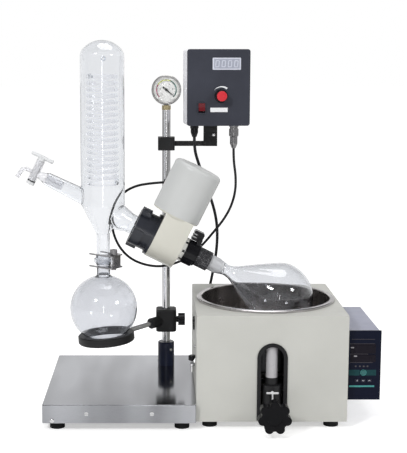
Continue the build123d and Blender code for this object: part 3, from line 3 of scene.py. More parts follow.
import bmesh
import bpy
import numpy as np
from mathutils import Matrix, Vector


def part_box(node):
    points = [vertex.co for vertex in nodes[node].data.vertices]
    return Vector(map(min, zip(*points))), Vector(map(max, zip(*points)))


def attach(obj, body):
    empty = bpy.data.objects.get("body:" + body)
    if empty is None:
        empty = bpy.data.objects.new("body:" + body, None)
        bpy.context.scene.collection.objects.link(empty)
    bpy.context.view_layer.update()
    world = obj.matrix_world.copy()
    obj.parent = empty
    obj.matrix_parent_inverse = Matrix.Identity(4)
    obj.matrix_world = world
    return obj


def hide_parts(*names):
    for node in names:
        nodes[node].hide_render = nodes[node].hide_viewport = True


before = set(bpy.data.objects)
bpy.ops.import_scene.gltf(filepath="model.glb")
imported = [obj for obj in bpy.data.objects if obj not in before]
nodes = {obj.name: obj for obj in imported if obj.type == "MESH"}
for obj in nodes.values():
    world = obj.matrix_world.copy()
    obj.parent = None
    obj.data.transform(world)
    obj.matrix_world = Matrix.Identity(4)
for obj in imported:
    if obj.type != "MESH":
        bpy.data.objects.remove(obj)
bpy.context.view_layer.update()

# Sizes and places below are in millimetres, in the frame of the solids, and become metres in place()
MM = 0.001
TILT = radians(26.4)
CASE_TURN = radians(4.0)


# Frames: a 3x3 array of unit columns and an origin


def axes(origin, right, up):
    """A frame whose columns are right, up and their cross product, which faces outwards."""
    right, up = np.array((right, up), float)
    return np.column_stack((right, up, np.cross(right, up))), np.array(origin, float)


def place(points, at):
    """Points in a frame, turned and moved into the object's frame, in metres."""
    turn, origin = at
    return (np.asarray(points, float) @ turn.T + origin) * MM


def moved(at, x, y, z=0.0):
    """The same frame with its origin moved along its own axes."""
    turn, origin = at
    return turn, origin + turn @ np.array((x, y, z), float)


def front_face(x, y, z):
    """A frame on a wall that faces the viewer: X to the right, Y up, Z out of the wall."""
    return axes((x, y, z), (1, 0, 0), (0, 0, 1))


def upright(x, y, z=0.0):
    """A frame turned as the object's own is: X to the right, Y to the back, Z up."""
    return axes((x, y, z), (1, 0, 0), (0, 1, 0))


# The drive's frame has its Z along the drive axis, down to the flask
AXIS_UP = (sin(TILT), 0, cos(TILT))
AXIS_DOWN = (cos(TILT), 0, -sin(TILT))
COLUMN = (-52.5, 128.5)
CONDENSER_AT = (-176, 14, 0)
BATH_AT = (142, 16.5, 0)
DRIVE = axes((-52.5, 14, 330), AXIS_UP, (0, -1, 0))
CONDENSER = upright(*CONDENSER_AT)

# The controller's panel faces forward at a distance from the case's middle
CASE_FOOT = np.array((45.5, 90.5, 552))
CASE_REACH = 45.5
CASE_FRONT = np.array((sin(CASE_TURN), -cos(CASE_TURN), 0))
CASE_FACE = axes(CASE_FOOT + CASE_REACH * CASE_FRONT, (cos(CASE_TURN), sin(CASE_TURN), 0), (0, 0, 1))
DIAL_FACE = front_face(-52.5, 119.5, 620)
BATH_PANEL_FACE = front_face(313, -120.5, 0)


# Grids of points, as arrays [rows, columns, 3]

MERGE_GAP = 1e-6
THINNEST = 1e-7


def lathe(profile, at, segments):
    """A profile of (radius, height) turned about the frame's Z: x = r cos a, y = r sin a, z = height."""
    profile = np.asarray(profile, float)
    angle = np.linspace(0, 2 * pi, segments + 1)
    radius, height = profile[:, :1], profile[:, 1:]
    rows = np.stack((radius * np.cos(angle), radius * np.sin(angle), height + 0 * angle), axis=-1)
    return place(rows, at)


def arc(centre, radius, first, last, count):
    """Points of a circular arc in the profile plane, from one angle in degrees to another."""
    angle = np.radians(np.linspace(first, last, count))
    return np.column_stack((centre[0] + radius * np.cos(angle), centre[1] + radius * np.sin(angle)))


def slab(width, height, thick, corner, edge, at, count=10):
    """A plate with round corners: its outline is carried up the wall, in over the edge, and to the middle."""
    outline = []
    for quarter, (sx, sy) in enumerate(((1, 1), (-1, 1), (-1, -1), (1, -1))):
        middle = (sx * (width / 2 - corner), sy * (height / 2 - corner))
        outline.append(arc(middle, corner, 90 * quarter, 90 * quarter + 90, count))
    outline = np.vstack(outline + [outline[0][:1]])
    over_edge = 1 - np.array((0, 0, edge * 0.3, edge)) / (min(width, height) / 2)
    inwards = np.append(over_edge, (0.5, 0.0))
    heights = np.array((0, thick - edge, thick - edge * 0.3, thick, thick, thick))
    rows = np.empty((len(heights), len(outline), 3))
    rows[..., :2] = outline[None] * inwards[:, None, None]
    rows[..., 2] = heights[:, None]
    floor = np.zeros((1, len(outline), 3))
    return place(np.vstack((floor, rows)), at)


def band(inner, outer, first, last, thick, at, count=48):
    """A flat ring sector: radii may be pairs that change evenly from the first angle to the last."""
    angle = np.radians(np.linspace(first, last, count))
    share = np.linspace(0, 1, count)
    ends = (np.broadcast_to(inner, 2), np.broadcast_to(outer, 2))
    low, high = (start * (1 - share) + stop * share for start, stop in ends)
    radius = np.stack((low, low, high, high, low))
    height = np.array((0, thick, thick, 0, 0))[:, None] + 0 * share
    return place(np.stack((radius * np.cos(angle), radius * np.sin(angle), height), axis=-1), at)


def strokes(lines, width, thick, at):
    """Straight bars along lines of (x0, y0, x1, y1): four side rows of a box, closed at each end's middle."""
    grids = []
    for x0, y0, x1, y1 in lines:
        along = np.array((x1 - x0, y1 - y0, 0.0))
        across = np.array((-along[1], along[0], 0)) / np.hypot(*along[:2]) * width / 2
        rise = np.array((0, 0, thick))
        corners = np.array((across, across + rise, -across + rise, -across, across))
        middle = np.zeros_like(corners) + rise / 2
        rows = np.stack((middle, corners, corners + along, middle + along))
        grids.append(place(rows + np.array((x0, y0, 0.0)), at))
    return grids


def mesh_of(name, grids):
    """One mesh from several grids: each quad joins four neighbours, and points that meet are merged."""
    points, quads, first = [], [], 0
    for grid in grids:
        rows, columns = grid.shape[:2]
        index = first + np.arange(rows * columns).reshape(rows, columns)
        corners = (index[:-1, :-1], index[:-1, 1:], index[1:, 1:], index[1:, :-1])
        quads.append(np.stack(corners, -1).reshape(-1, 4))
        points.append(grid.reshape(-1, 3))
        first += rows * columns
    mesh = bpy.data.meshes.new(name)
    mesh.from_pydata(np.vstack(points), [], np.vstack(quads))
    work = bmesh.new()
    work.from_mesh(mesh)
    bmesh.ops.remove_doubles(work, verts=work.verts, dist=MERGE_GAP)
    bmesh.ops.dissolve_degenerate(work, edges=work.edges, dist=THINNEST)
    bmesh.ops.recalc_face_normals(work, faces=work.faces)
    work.to_mesh(mesh)
    work.free()
    return mesh


def add_object(name, data):
    """A new object in the scene, at the origin."""
    made = bpy.data.objects.new(name, data)
    bpy.context.scene.collection.objects.link(made)
    return made


def add_piece(name, grids, body, finish, sharp=35):
    """A new piece made of grids, on one body, with a material."""
    mesh = mesh_of(name, grids)
    mesh.shade_smooth()
    mesh.set_sharp_from_angle(angle=radians(sharp))
    mesh.materials.append(finish)
    piece = add_object(name, mesh)
    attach(piece, body)
    return piece


def add_turned(name, profile, at, body, finish, slot, segments=32, sharp=35):
    """A new piece that is one profile turned about a frame's Z."""
    return add_piece(name, [lathe(profile, at, segments)], body, finish, sharp)


def add_labels(face, labels):
    """Thin plates on a face of the stand, from rows of name, slab sizes, spots, finish and slot."""
    for name, sizes, spots, finish, slot in labels:
        add_piece(name, [slab(*sizes, moved(face, *spot)) for spot in spots], "stand", finish)


# Materials: noise scales are in waves per metre, and relief depths in metres

MATH = "ShaderNodeMath"
VECTOR_MATH = "ShaderNodeVectorMath"
MIX_FIRST, MIX_SECOND, MIX_RESULT = 6, 7, 2
PAINT_CLOUDS, PAINT_GLOSS, COAT_ROUGHNESS = 9.0, 45.0, 0.08
BRUSH_SMUDGES, BRUSH_CLOUDS, CLOUD_SHADE = 7.0, 7.0, 0.58
SPUN_RINGS, SPUN_STREAKS, SPUN_SMUDGES, SPUN_DEPTH = 900.0, 26.0, 12.0, 8e-6
GLASS_FILM, GLASS_WAVES, GLASS_DEPTH_TINT = 16.0, 14.0, (0.76, 0.79, 0.83)
CLEAR_ROUGHNESS, GROUND_ROUGHNESS, GROUND_CLARITY, GROUND_GRAIN = 0.01, 0.55, 0.45, 300.0
IRON_ROUGHNESS, ROD_ROUGHNESS = 0.45, 0.16
KNURL_CELLS, KNURL_WEAR, KNURL_DEPTH = 420.0, 120.0, 5e-4
INK_GRAIN, INK_DEPTH = 900.0, 1e-5


def feed(socket, value):
    """A node's input, linked to another node's output or set to a plain value."""
    if isinstance(value, bpy.types.NodeSocket):
        socket.id_data.links.new(value, socket)
    else:
        socket.default_value = value


def wire(made, **values):
    """A node's inputs by name, with _ for a space, and its settings where it has no such input."""
    for key, value in values.items():
        socket = key.replace("_", " ")
        if socket in made.inputs:
            feed(made.inputs[socket], value)
        else:
            setattr(made, key, value)
    return made


def node(near, kind, **values):
    """A new node in the tree of another node or socket, with some of its inputs and settings given."""
    return wire(near.id_data.nodes.new(kind), **values)


def operated(kind, operation, *values, **settings):
    """The outputs of a new Math or Vector Math node, whose inputs are given in order, a socket first."""
    made = node(values[0], kind, operation=operation, **settings)
    for socket, value in zip(made.inputs, values):
        feed(socket, value)
    return made.outputs


def mixed_colour(near, share, first, second, blend_type="MIX"):
    """A mix of two colours, each four numbers or another node's output."""
    made = node(near, "ShaderNodeMix", data_type="RGBA", blend_type=blend_type, Factor=share)
    feed(made.inputs[MIX_FIRST], first)
    feed(made.inputs[MIX_SECOND], second)
    return made.outputs[MIX_RESULT]


def smooth_step(value, start, stop, low=0.0, high=1.0):
    """A value that goes smoothly from low to high as another goes from start to stop."""
    made = node(value, "ShaderNodeMapRange", interpolation_type="SMOOTHSTEP", Value=value,
                From_Min=start, From_Max=stop, To_Min=low, To_Max=high)
    return made.outputs["Result"]


def opened(finish):
    """A material's shader and the object's own coordinates, to add to it."""
    parts = finish.node_tree.nodes
    return parts["Principled BSDF"], parts["Texture Coordinate"].outputs["Object"]


def start_material(name, colour, roughness, **sockets):
    """A material with its shader's plain sockets set, opened to add to it."""
    finish = bpy.data.materials.new(name)
    finish.use_nodes = True
    finish.node_tree.nodes.new("ShaderNodeTexCoord")
    shader, where = opened(finish)
    wire(shader, Base_Color=(*colour, 1), Roughness=roughness, **sockets)
    return finish, shader, where


def ramp(source, low, high, start=0.35, stop=0.65):
    """A value or colour that goes from low to high as the source goes from start to stop."""
    made = node(source, "ShaderNodeValToRGB", Fac=source)
    for element, position, tone in zip(made.color_ramp.elements, (start, stop), (low, high)):
        element.position = position
        element.color = (*np.broadcast_to(tone, 3), 1)
    return made.outputs["Color"]


def noise(where, scale, stretch=(1, 1, 1), detail=4.0, roughness=0.55):
    """Fractal noise on the object's coordinates, stretched along an axis where asked."""
    mapping = node(where, "ShaderNodeMapping", Vector=where, Scale=stretch)
    made = node(where, "ShaderNodeTexNoise", Vector=mapping.outputs["Vector"], Scale=scale, Detail=detail,
                Roughness=roughness)
    return made.outputs["Fac"]


def add_bump(shader, height, strength, distance):
    """Relief from a height value, at a real depth in metres."""
    made = node(shader, "ShaderNodeBump", Height=height, Strength=strength, Distance=distance)
    wire(shader, Normal=made.outputs["Normal"])


def shaded(colour, share):
    """A colour made darker or lighter by a share."""
    return tuple(min(1.0, max(0.0, c * share)) for c in colour)


def axis_distance(where, centre, axis=(0, 0, 1)):
    """The distance from an axis through a centre: the length of (point - centre) x axis."""
    mapping = node(where, "ShaderNodeMapping", Vector=where, Location=[-c * MM for c in centre])
    cross = operated(VECTOR_MATH, "CROSS_PRODUCT", mapping.outputs["Vector"], axis)
    return operated(VECTOR_MATH, "LENGTH", cross["Vector"])["Value"]


def parted(value, edge, side="GREATER_THAN"):
    """A mask that is one where a value in metres is above, or below, an edge in millimetres."""
    return operated(MATH, side, value, edge * MM)[0]


def paint_over(shader, mask, colour):
    """Another colour over the shader's own, where the mask is one."""
    under = shader.inputs["Base Color"].links[0].from_socket
    wire(shader, Base_Color=mixed_colour(shader, mask, under, (*colour, 1)))


def painted(name, colour, roughness, grain, depth=2e-5, coat=0.0, spread=0.06, shine=0.5):
    """Paint or moulded plastic: cloudy tone, uneven gloss and a fine orange-peel relief."""
    finish, shader, where = start_material(name, colour, roughness, Coat_Weight=coat,
                                           Coat_Roughness=COAT_ROUGHNESS, Specular_IOR_Level=shine)
    clouds = noise(where, PAINT_CLOUDS)
    patches = noise(where, PAINT_GLOSS, detail=6.0)
    wire(shader, Base_Color=ramp(clouds, shaded(colour, 1 - spread), shaded(colour, 1 + spread)),
         Roughness=ramp(patches, roughness * 0.88, min(1.0, roughness * 1.15)))
    add_bump(shader, noise(where, grain, detail=3.0), 0.5, depth)
    return finish


def metal(name, colour, roughness, stretch, grain=60.0, depth=1e-5, clouds=None):
    """Bare metal: brush marks drawn out along one axis in tone, gloss and relief, with faint smudges.

    Clouds, where given, are the stretch of broad bands that darken the tone here and there.
    """
    finish, shader, where = start_material(name, colour, roughness, Metallic=1.0)
    lines = noise(where, grain, stretch, detail=5.0, roughness=0.7)
    smudges = noise(where, BRUSH_SMUDGES, detail=3.0)
    wear = operated(MATH, "MULTIPLY", lines, smudges)[0]
    tone = ramp(lines, shaded(colour, 0.93), shaded(colour, 1.05))
    if clouds:
        shade = ramp(noise(where, BRUSH_CLOUDS, clouds, detail=2.0), CLOUD_SHADE, 1.0)
        tone = mixed_colour(shader, 1.0, tone, shade, "MULTIPLY")
    wire(shader, Base_Color=tone,
         Roughness=ramp(wear, roughness * 0.75, roughness * 1.35, 0.15, 0.4))
    add_bump(shader, lines, 0.35, depth)
    return finish


def spun(name, colour, roughness, centre, outside_shade_colour, rim_colour, outer_r, rim_z):
    """Spun metal: rings about an upright axis, from the distance to it, with painted shade outside below its
    own rim.
    """
    finish, shader, where = start_material(name, colour, roughness, Metallic=1.0)
    reach = axis_distance(where, centre)
    height = node(where, "ShaderNodeSeparateXYZ", Vector=where).outputs["Z"]
    rings = node(where, "ShaderNodeCombineXYZ", X=reach, Y=height).outputs["Vector"]
    lines = node(where, "ShaderNodeTexNoise", Vector=rings, Scale=SPUN_RINGS, Detail=4.0).outputs["Fac"]
    streaks = noise(where, SPUN_STREAKS, (1, 1, 0.03), detail=2.0)
    marks = operated(MATH, "MULTIPLY", lines, streaks)[0]
    inside = ramp(marks, shaded(colour, 0.65), shaded(colour, 1.3), 0.17, 0.36)
    # The outside wall is painted dark below the rim, as painted shade, with a band of rim colour above it
    outside = mixed_colour(shader, parted(height, rim_z), (*outside_shade_colour, 1), (*rim_colour, 1))
    smudges = noise(where, SPUN_SMUDGES)
    wire(shader, Base_Color=mixed_colour(shader, parted(reach, outer_r), inside, outside),
         Roughness=ramp(smudges, roughness * 0.8, roughness * 1.3))
    add_bump(shader, lines, 0.25, SPUN_DEPTH)
    return finish


def blown_glass(name, tint, roughness=CLEAR_ROUGHNESS, ripple=4e-5, depth=80.0, bend=1.46, clear=1.0):
    """Clear blown glass: light dies away along its path in the wall, so edges show, and a film dulls it."""
    finish, shader, where = start_material(name, tint, roughness, IOR=bend, Transmission_Weight=clear)
    film = noise(where, GLASS_FILM, detail=5.0)
    wire(shader, Roughness=ramp(film, roughness, roughness + 0.03, 0.5, 0.8))
    add_bump(shader, noise(where, GLASS_WAVES, detail=1.0), 0.4, ripple)
    wall = node(shader, "ShaderNodeVolumeAbsorption", Color=(*GLASS_DEPTH_TINT, 1), Density=depth)
    wire(finish.node_tree.nodes["Material Output"], Volume=wall.outputs["Volume"])
    return finish


def ground_neck_glass(name, tint, first, last):
    """Blown glass that is ground matt up to a first place on the drive axis, and clear from a last one."""
    finish = blown_glass(name, tint)
    shader, where = opened(finish)
    along = operated(VECTOR_MATH, "DOT_PRODUCT", where, AXIS_DOWN)["Value"]
    start = np.dot(DRIVE[1], AXIS_DOWN)
    reach = smooth_step(along, (start + last) * MM, (start + first) * MM)
    worn = ramp(noise(where, GROUND_GRAIN, detail=3.0), 0.8, 1.0)
    share = operated(MATH, "MULTIPLY", reach, worn)[0]
    wire(shader, Roughness=ramp(share, CLEAR_ROUGHNESS, GROUND_ROUGHNESS, 0.0, 1.0),
         Transmission_Weight=ramp(share, 1.0, GROUND_CLARITY, 0.0, 1.0))
    return finish


def two_tone(name, front, rest, edge, roughness):
    """A moulded front in one colour on a painted case in another, parted by a plane across the object."""
    finish = painted(name, rest, roughness, 1200.0, 3e-5, spread=0.05, shine=0.1)
    shader, where = opened(finish)
    depth = node(where, "ShaderNodeSeparateXYZ", Vector=where).outputs["Y"]
    paint_over(shader, parted(depth, edge, "LESS_THAN"), front)
    return finish


def ring_and_rod(name, ring_colour, rod_colour, centre, ring_r):
    """Black paint on a ring and bare steel on its rod, parted by the distance from the ring's axis."""
    finish = painted(name, ring_colour, IRON_ROUGHNESS, 420.0, 1.2e-4, spread=0.3, shine=0.3)
    shader, where = opened(finish)
    beyond = parted(axis_distance(where, centre), ring_r)
    paint_over(shader, beyond, rod_colour)
    wire(shader, Metallic=beyond, Roughness=ramp(beyond, IRON_ROUGHNESS, ROD_ROUGHNESS, 0.0, 1.0))
    return finish


def slotted(name, colour, slot_shade_colour, rim_r):
    """A pale cap with painted shade in its slots: the slots lie nearer the drive axis than the cap's rim
    does.
    """
    finish = painted(name, colour, 0.25, 260.0, 3e-5, coat=0.2, spread=0.03)
    shader, where = opened(finish)
    reach = axis_distance(where, DRIVE[1], AXIS_DOWN)
    # The slots are painted dark: painted shade in their recesses
    paint_over(shader, parted(reach, rim_r, "LESS_THAN"), slot_shade_colour)
    return finish


def knurled(name, groove, crown, roughness):
    """Knurled plastic: small worn crowns in dark grooves, from the cells of a crackle pattern, in relief."""
    finish, shader, where = start_material(name, groove, roughness, Specular_IOR_Level=0.35)
    cells = node(where, "ShaderNodeTexVoronoi", Vector=where, Scale=KNURL_CELLS)
    worn = noise(where, KNURL_WEAR)
    height = operated(MATH, "SUBTRACT", worn, cells.outputs["Distance"])[0]
    wire(shader, Base_Color=ramp(height, groove, crown, 0.0, 0.4),
         Roughness=ramp(worn, roughness * 0.85, roughness * 1.2))
    add_bump(shader, height, 0.6, KNURL_DEPTH)
    return finish


def printed(name, colour, roughness=0.5, shine=0.5):
    """Screen print: an even ink with a slightly grainy edge tone."""
    finish, shader, where = start_material(name, colour, roughness, Specular_IOR_Level=shine)
    grains = noise(where, INK_GRAIN, detail=2.0)
    wire(shader, Base_Color=ramp(grains, shaded(colour, 0.9), colour))
    add_bump(shader, grains, 0.2, INK_DEPTH)
    return finish


# Metals: colour, roughness, stretch of the brush marks, their scale and depth
STAINLESS = metal("brushed_stainless", (0.51, 0.519, 0.549), 0.13, (2, 60, 60), 40, clouds=(1.4, 0.3, 0.3))
STEEL = metal("polished_steel", (0.7, 0.7, 0.71), 0.13, (10, 10, 0.1), 20, 1e-6)
CHROME = metal("bright_chrome", (0.78, 0.78, 0.79), 0.07, (10, 10, 10), 30, 2e-6)
DARK_STEEL = metal("dark_steel", (0.3, 0.295, 0.3), 0.26, (40, 40, 6))
GEAR_STEEL = metal("gear_steel", (0.5, 0.5, 0.51), 0.3, (30, 30, 30))
BRONZE = metal("gear_bronze", (0.6, 0.4, 0.2), 0.32, (30, 30, 30))
BRASS = metal("turned_brass", (0.4, 0.345, 0.21), 0.34, (30, 30, 3))
MOTOR_STEEL = metal("motor_steel", (0.4, 0.4, 0.42), 0.35, (30, 30, 3))
BEZEL_STEEL = metal("gauge_bezel_steel", (0.36, 0.355, 0.35), 0.32, (30, 30, 30))
# The pot's outside wall below its rim is painted nearly black: painted shade inside the bath
POT_STEEL = spun("spun_pot_steel", (0.58, 0.555, 0.545), 0.26, BATH_AT, (0.03, 0.03, 0.032),
                 (0.46, 0.445, 0.45), outer_r=126.4, rim_z=155)

# Paints and plastics: colour, roughness, scale and depth of the relief
SATIN_STEEL = painted("satin_steel", (0.44, 0.43, 0.445), 0.3, 900, spread=0.08)
# Pale paint on the clamp's steel bar, pin and stem: a painted glint in place of their reflections
GLINT_PAINTED_STEEL = painted("pin_painted_glint", (0.74, 0.74, 0.75), 0.25, 900, 1e-5, spread=0.03)
NAVY = painted("navy_gloss_paint", (0.012, 0.017, 0.045), 0.22, 700, coat=0.15, spread=0.2, shine=0.35)
CHARCOAL = painted("charcoal_panel", (0.041, 0.044, 0.059), 0.5, 1500, 3e-5, spread=0.12, shine=0.2)
GREY_CASE = painted("light_grey_case", (0.88, 0.88, 0.93), 0.4, 1200, 3e-5)
BLACK_PLASTIC = painted("black_gloss_plastic", (0.007, 0.007, 0.009), 0.2, 500, spread=0.25, shine=0.25)
NUT_PLASTIC = painted("nut_plastic", (0.018, 0.02, 0.027), 0.22, 500, spread=0.2)
KNOB_BLACK = painted("knob_black", (0.004, 0.004, 0.005), 0.3, 500, spread=0.25, shine=0.12)
BLACK_IRON = painted("black_cast_iron", (0.012, 0.012, 0.013), IRON_ROUGHNESS, 420, 1.2e-4, spread=0.3,
                     shine=0.3)
RUBBER = painted("black_rubber", (0.013, 0.013, 0.014), 0.7, 800, 5e-5, spread=0.3, shine=0.25)
CORD_SKIN = painted("cord_skin", (0.013, 0.013, 0.015), 0.5, 1200, 3e-5, spread=0.3, shine=0.3)
CREAM = painted("cream_enamel", (0.6, 0.59, 0.525), 0.2, 260, 3e-5, coat=0.3, spread=0.03)
COVER_GREY = painted("cover_grey_plastic", (0.545, 0.555, 0.55), 0.34, 900, 3e-5, spread=0.03)
BATH_PAINT = painted("bath_powder_paint", (0.54, 0.54, 0.505), 0.42, 1300, 4e-5, spread=0.03)
PTFE = painted("white_ptfe", (0.7, 0.71, 0.72), 0.35, 700, spread=0.02)
RED = painted("red_gloss_plastic", (0.6, 0.028, 0.04), 0.3, 500, coat=0.1, spread=0.1, shine=0.3)
DARK_RED = painted("dark_red_rocker", (0.16, 0.008, 0.014), 0.25, 500, coat=0.2, spread=0.2, shine=0.3)
KEY_DARK = painted("dark_key", (0.016, 0.017, 0.032), 0.4, 900, spread=0.1, shine=0.2)
TEAL = painted("teal_key", (0.035, 0.13, 0.13), 0.4, 900, spread=0.08, shine=0.25)
DIAL_WHITE = painted("dial_white", (0.88, 0.88, 0.86), 0.4, 900, 1e-5, spread=0.02)
DARK_WINDOW = painted("dark_window", (0.01, 0.008, 0.014), 0.3, 300, 1e-5, spread=0.2, shine=0.12)
CLIP_PLASTIC = knurled("knurled_clip", (0.022, 0.022, 0.025), (0.19, 0.19, 0.2), 0.42)
BATH_BOX = two_tone("bath_box_paint", (0.005, 0.007, 0.019), (0.34, 0.35, 0.43), edge=-116.6, roughness=0.36)
# The cap's slots are painted nearly black, as painted shade
CAP_CREAM = slotted("slotted_cap", (0.8, 0.8, 0.76), (0.03, 0.03, 0.028), rim_r=23.4)
RING_IRON = ring_and_rod("ring_and_rod", (0.012, 0.012, 0.013), (0.68, 0.68, 0.69), CONDENSER_AT,
                         ring_r=60.5)

# Glass: tint, then roughness, ripple, density, bend of light and clarity
GLASS = blown_glass("blown_glass", (0.925, 0.93, 0.94))
RECEIVER_GLASS = blown_glass("receiver_glass", (0.79, 0.795, 0.815))
MILKY_GLASS = blown_glass("milky_glass", (0.95, 0.95, 0.97), 0.3, clear=0.75, depth=4)
FLASK_GLASS = ground_neck_glass("ground_neck_glass", (0.85, 0.855, 0.87), first=118, last=127)
COIL_GLASS = blown_glass("thin_coil_glass", (0.97, 0.97, 0.98), ripple=2e-5, depth=10, bend=1.05)
LENS = blown_glass("gauge_lens_glass", (0.99, 0.99, 0.99), ripple=1e-5, depth=5, bend=1.06)

# Inks: colour, roughness and shine
WINDOW_FRAME = printed("display_frame", (0.66, 0.68, 0.77), 0.35)
WINDOW_PALE = printed("display_window", (0.36, 0.38, 0.46), 0.3)
SEGMENT_GREY = printed("display_segment", (0.62, 0.64, 0.72), 0.3)
WHITE_INK = printed("white_ink", (0.85, 0.86, 0.88))
BLACK_INK = printed("black_ink", (0.02, 0.02, 0.022))
LINE_GREY = printed("grey_line", (0.085, 0.078, 0.085), 0.6, 0.15)
KEY_INK = printed("key_ink", (0.5, 0.5, 0.53))
MARK_GREY = printed("grey_mark", (0.3, 0.29, 0.31))
BAND_TEAL = printed("dark_teal_band", (0.009, 0.05, 0.056), 0.6, 0.15)
TEAL_INK = printed("aqua_stripe", (0.06, 0.3, 0.28), 0.5, 0.3)

# The solids that each finish is on
NODE_FINISHES = (
    (STAINLESS, "base_plate"), (RUBBER, "rubber_feet power_plug shaft_seal slot_trim"),
    (NAVY, "column_socket"), (STEEL, "column spindle_bearings"), (BRASS, "gauge_fitting"),
    (BEZEL_STEEL, "gauge_case"), (DIAL_WHITE, "gauge_dial"), (LENS, "gauge_lens"),
    (BLACK_PLASTIC, "gauge_needle speed_knob cable_gland flask_nut flask_latch ring_knob"),
    (BLACK_IRON, "controller_arm ring_clamp lift_carriage"), (GREY_CASE, "controller_case"),
    (CHARCOAL, "controller_panel"), (DARK_RED, "power_switch"),
    (DARK_STEEL, "motor_connector receiver_clip clip_screw"), (CREAM, "head_bracket gear_housing"),
    (COVER_GREY, "motor_cover"), (MOTOR_STEEL, "drive_motor heater"),
    (GEAR_STEEL, "bevel_pinion spindle"), (BRONZE, "bevel_wheel"), (CAP_CREAM, "bearing_cap"),
    (NUT_PLASTIC, "condenser_nut"), (CLIP_PLASTIC, "joint_clip"),
    (GLASS, "vapour_tube evaporating_flask condenser_jacket"), (COIL_GLASS, "condenser_coil"),
    (MILKY_GLASS, "stopcock_body"), (PTFE, "stopcock_plug"), (RECEIVER_GLASS, "receiving_flask"),
    (RING_IRON, "support_ring"), (BATH_PAINT, "bath_front bath_body bath_top"), (POT_STEEL, "bath_pot"),
    (SATIN_STEEL, "lift_post"), (KNOB_BLACK, "lift_knob"), (BATH_BOX, "bath_controller"),
    (KEY_DARK, "set_key down_key up_key"), (TEAL, "power_key"),
    (CORD_SKIN, "motor_cable power_cord power_cord_coil"),
)
for finish, names in NODE_FINISHES:
    for name in names.split():
        nodes[name].data.materials.clear()
        nodes[name].data.materials.append(finish)


# Camera at the photograph's angle


def add_camera():
    """The camera, level, looking down a little, with the frame shifted to the right."""
    data = bpy.data.cameras.new("camera")
    data.sensor_width = 36.0
    data.lens = 86.1
    data.shift_x = 0.0962
    camera = add_object("camera", data)
    camera.location = (-0.0655, -2.074, 0.6715)
    camera.rotation_euler = (radians(81.47), 0, 0)
    bpy.context.scene.camera = camera


add_camera()


# Cords: the routes of the solids, as control points of smooth splines

MOTOR_CABLE_R = 2.5
MOTOR_CABLE_ROUTE = [
    (81.9, 93.05, 505), (81.9, 93.05, 481), (87, 92.5, 449), (86.5, 93.5, 417), (78, 95.5, 386),
    (63, 97.5, 359), (44, 99.5, 335), (22, 101, 308), (-2, 101.5, 286), (-30, 101, 270), (-65, 100, 262),
    (-99, 99, 267), (-128, 97, 281), (-149, 95, 305), (-161, 93, 335), (-163.5, 91, 367), (-155, 90, 396),
    (-137, 91, 418), (-112, 94, 430), (-82, 98, 434), (-52, 100, 436), (-25, 97, 438), (-6.3, 83, 438.8),
    (-6.3, 58, 438.8)]
POWER_CORD_R = 3.0
POWER_CORD_ROUTE = [
    (3.1, 87.53, 528), (3.1, 87.53, 505), (10, 94, 480), (21, 107, 450), (32, 120, 418), (43, 131, 387),
    (51, 140, 355), (54, 149, 322), (53, 158, 289), (49, 166, 256), (43, 172.5, 222), (36, 177, 186),
    (31, 180, 150), (29, 182, 114), (32, 185, 80), (40, 189, 50), (54, 193, 25), (74, 195, 9), (98, 194, 3),
    (124, 191.8, 3), (150, 191, 3)]
PLUG_RUN = [(163, 264.5, 9.4), (153.5, 260, 9.9), (147, 258.3, 10), (138, 258.3, 10)]

# The coil's turns lie at spots of (radius, height), and each steps to the next in a late share of its turn
COIL_CENTRE = (175.0, 225.0)
COIL_POINTS = 14
COIL_TURNS = 4.5
COIL_SPOTS = np.array(((34.0, 3.0), (28.0, 3.0), (28.0, 9.0), (34.0, 9.0), (40.0, 9.0), (40.0, 9.0)))
STEP_FROM, STEP_SHARE = 0.72, 0.26

# The strap's loop: the middle radius, half width and half height of the turns that it holds
TIE_LOOP_R, TIE_LOOP_W, TIE_LOOP_H = 31.0, 6.3, 6.2
TIE_W, TIE_T, TIE_LIFT = 6.0, 0.7, 0.05
TIE_SQUARENESS = 0.7
TIE_ANGLE = radians(160)


def coil_route():
    """The put-away turns, then a short run into the plug: each turn keeps its spot and steps to the next.

    A control point lies at r = spot / cos(pi / n)^2, so that the line that it steers runs at the spot.
    """
    turns = np.arange(0, COIL_TURNS + 1e-9, 1 / COIL_POINTS)
    whole = turns.astype(int)
    step = np.clip((turns - whole - STEP_FROM) / STEP_SHARE, 0, 1)
    step = (step * step * (3 - 2 * step))[:, None]
    spot = COIL_SPOTS[whole] * (1 - step) + COIL_SPOTS[whole + 1] * step
    angle = -pi / 2 + 2 * pi * turns
    reach = spot[:, 0] / cos(pi / COIL_POINTS) ** 2
    x = COIL_CENTRE[0] + reach * np.cos(angle)
    y = COIL_CENTRE[1] + reach * np.sin(angle)
    return np.vstack((np.column_stack((x, y, spot[:, 1])), PLUG_RUN))


def add_cord(name, route, radius, replaced):
    """A smooth NURBS line of third order, steered by a route's control points, with a round section."""
    data = bpy.data.curves.new(name, "CURVE")
    data.dimensions = "3D"
    line = data.splines.new("NURBS")
    route = np.asarray(route, float) * MM
    line.points.add(len(route) - 1)
    line.points.foreach_set("co", np.column_stack((route, np.ones(len(route)))).ravel())
    line.order_u = 3
    line.use_endpoint_u = True
    line.resolution_u = 8
    data.bevel_depth = radius * MM
    data.bevel_resolution = 5
    data.use_fill_caps = True
    data.materials.append(CORD_SKIN)
    cord = add_object(name, data)
    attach(cord, "stand")
    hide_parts(*replaced)
    return cord


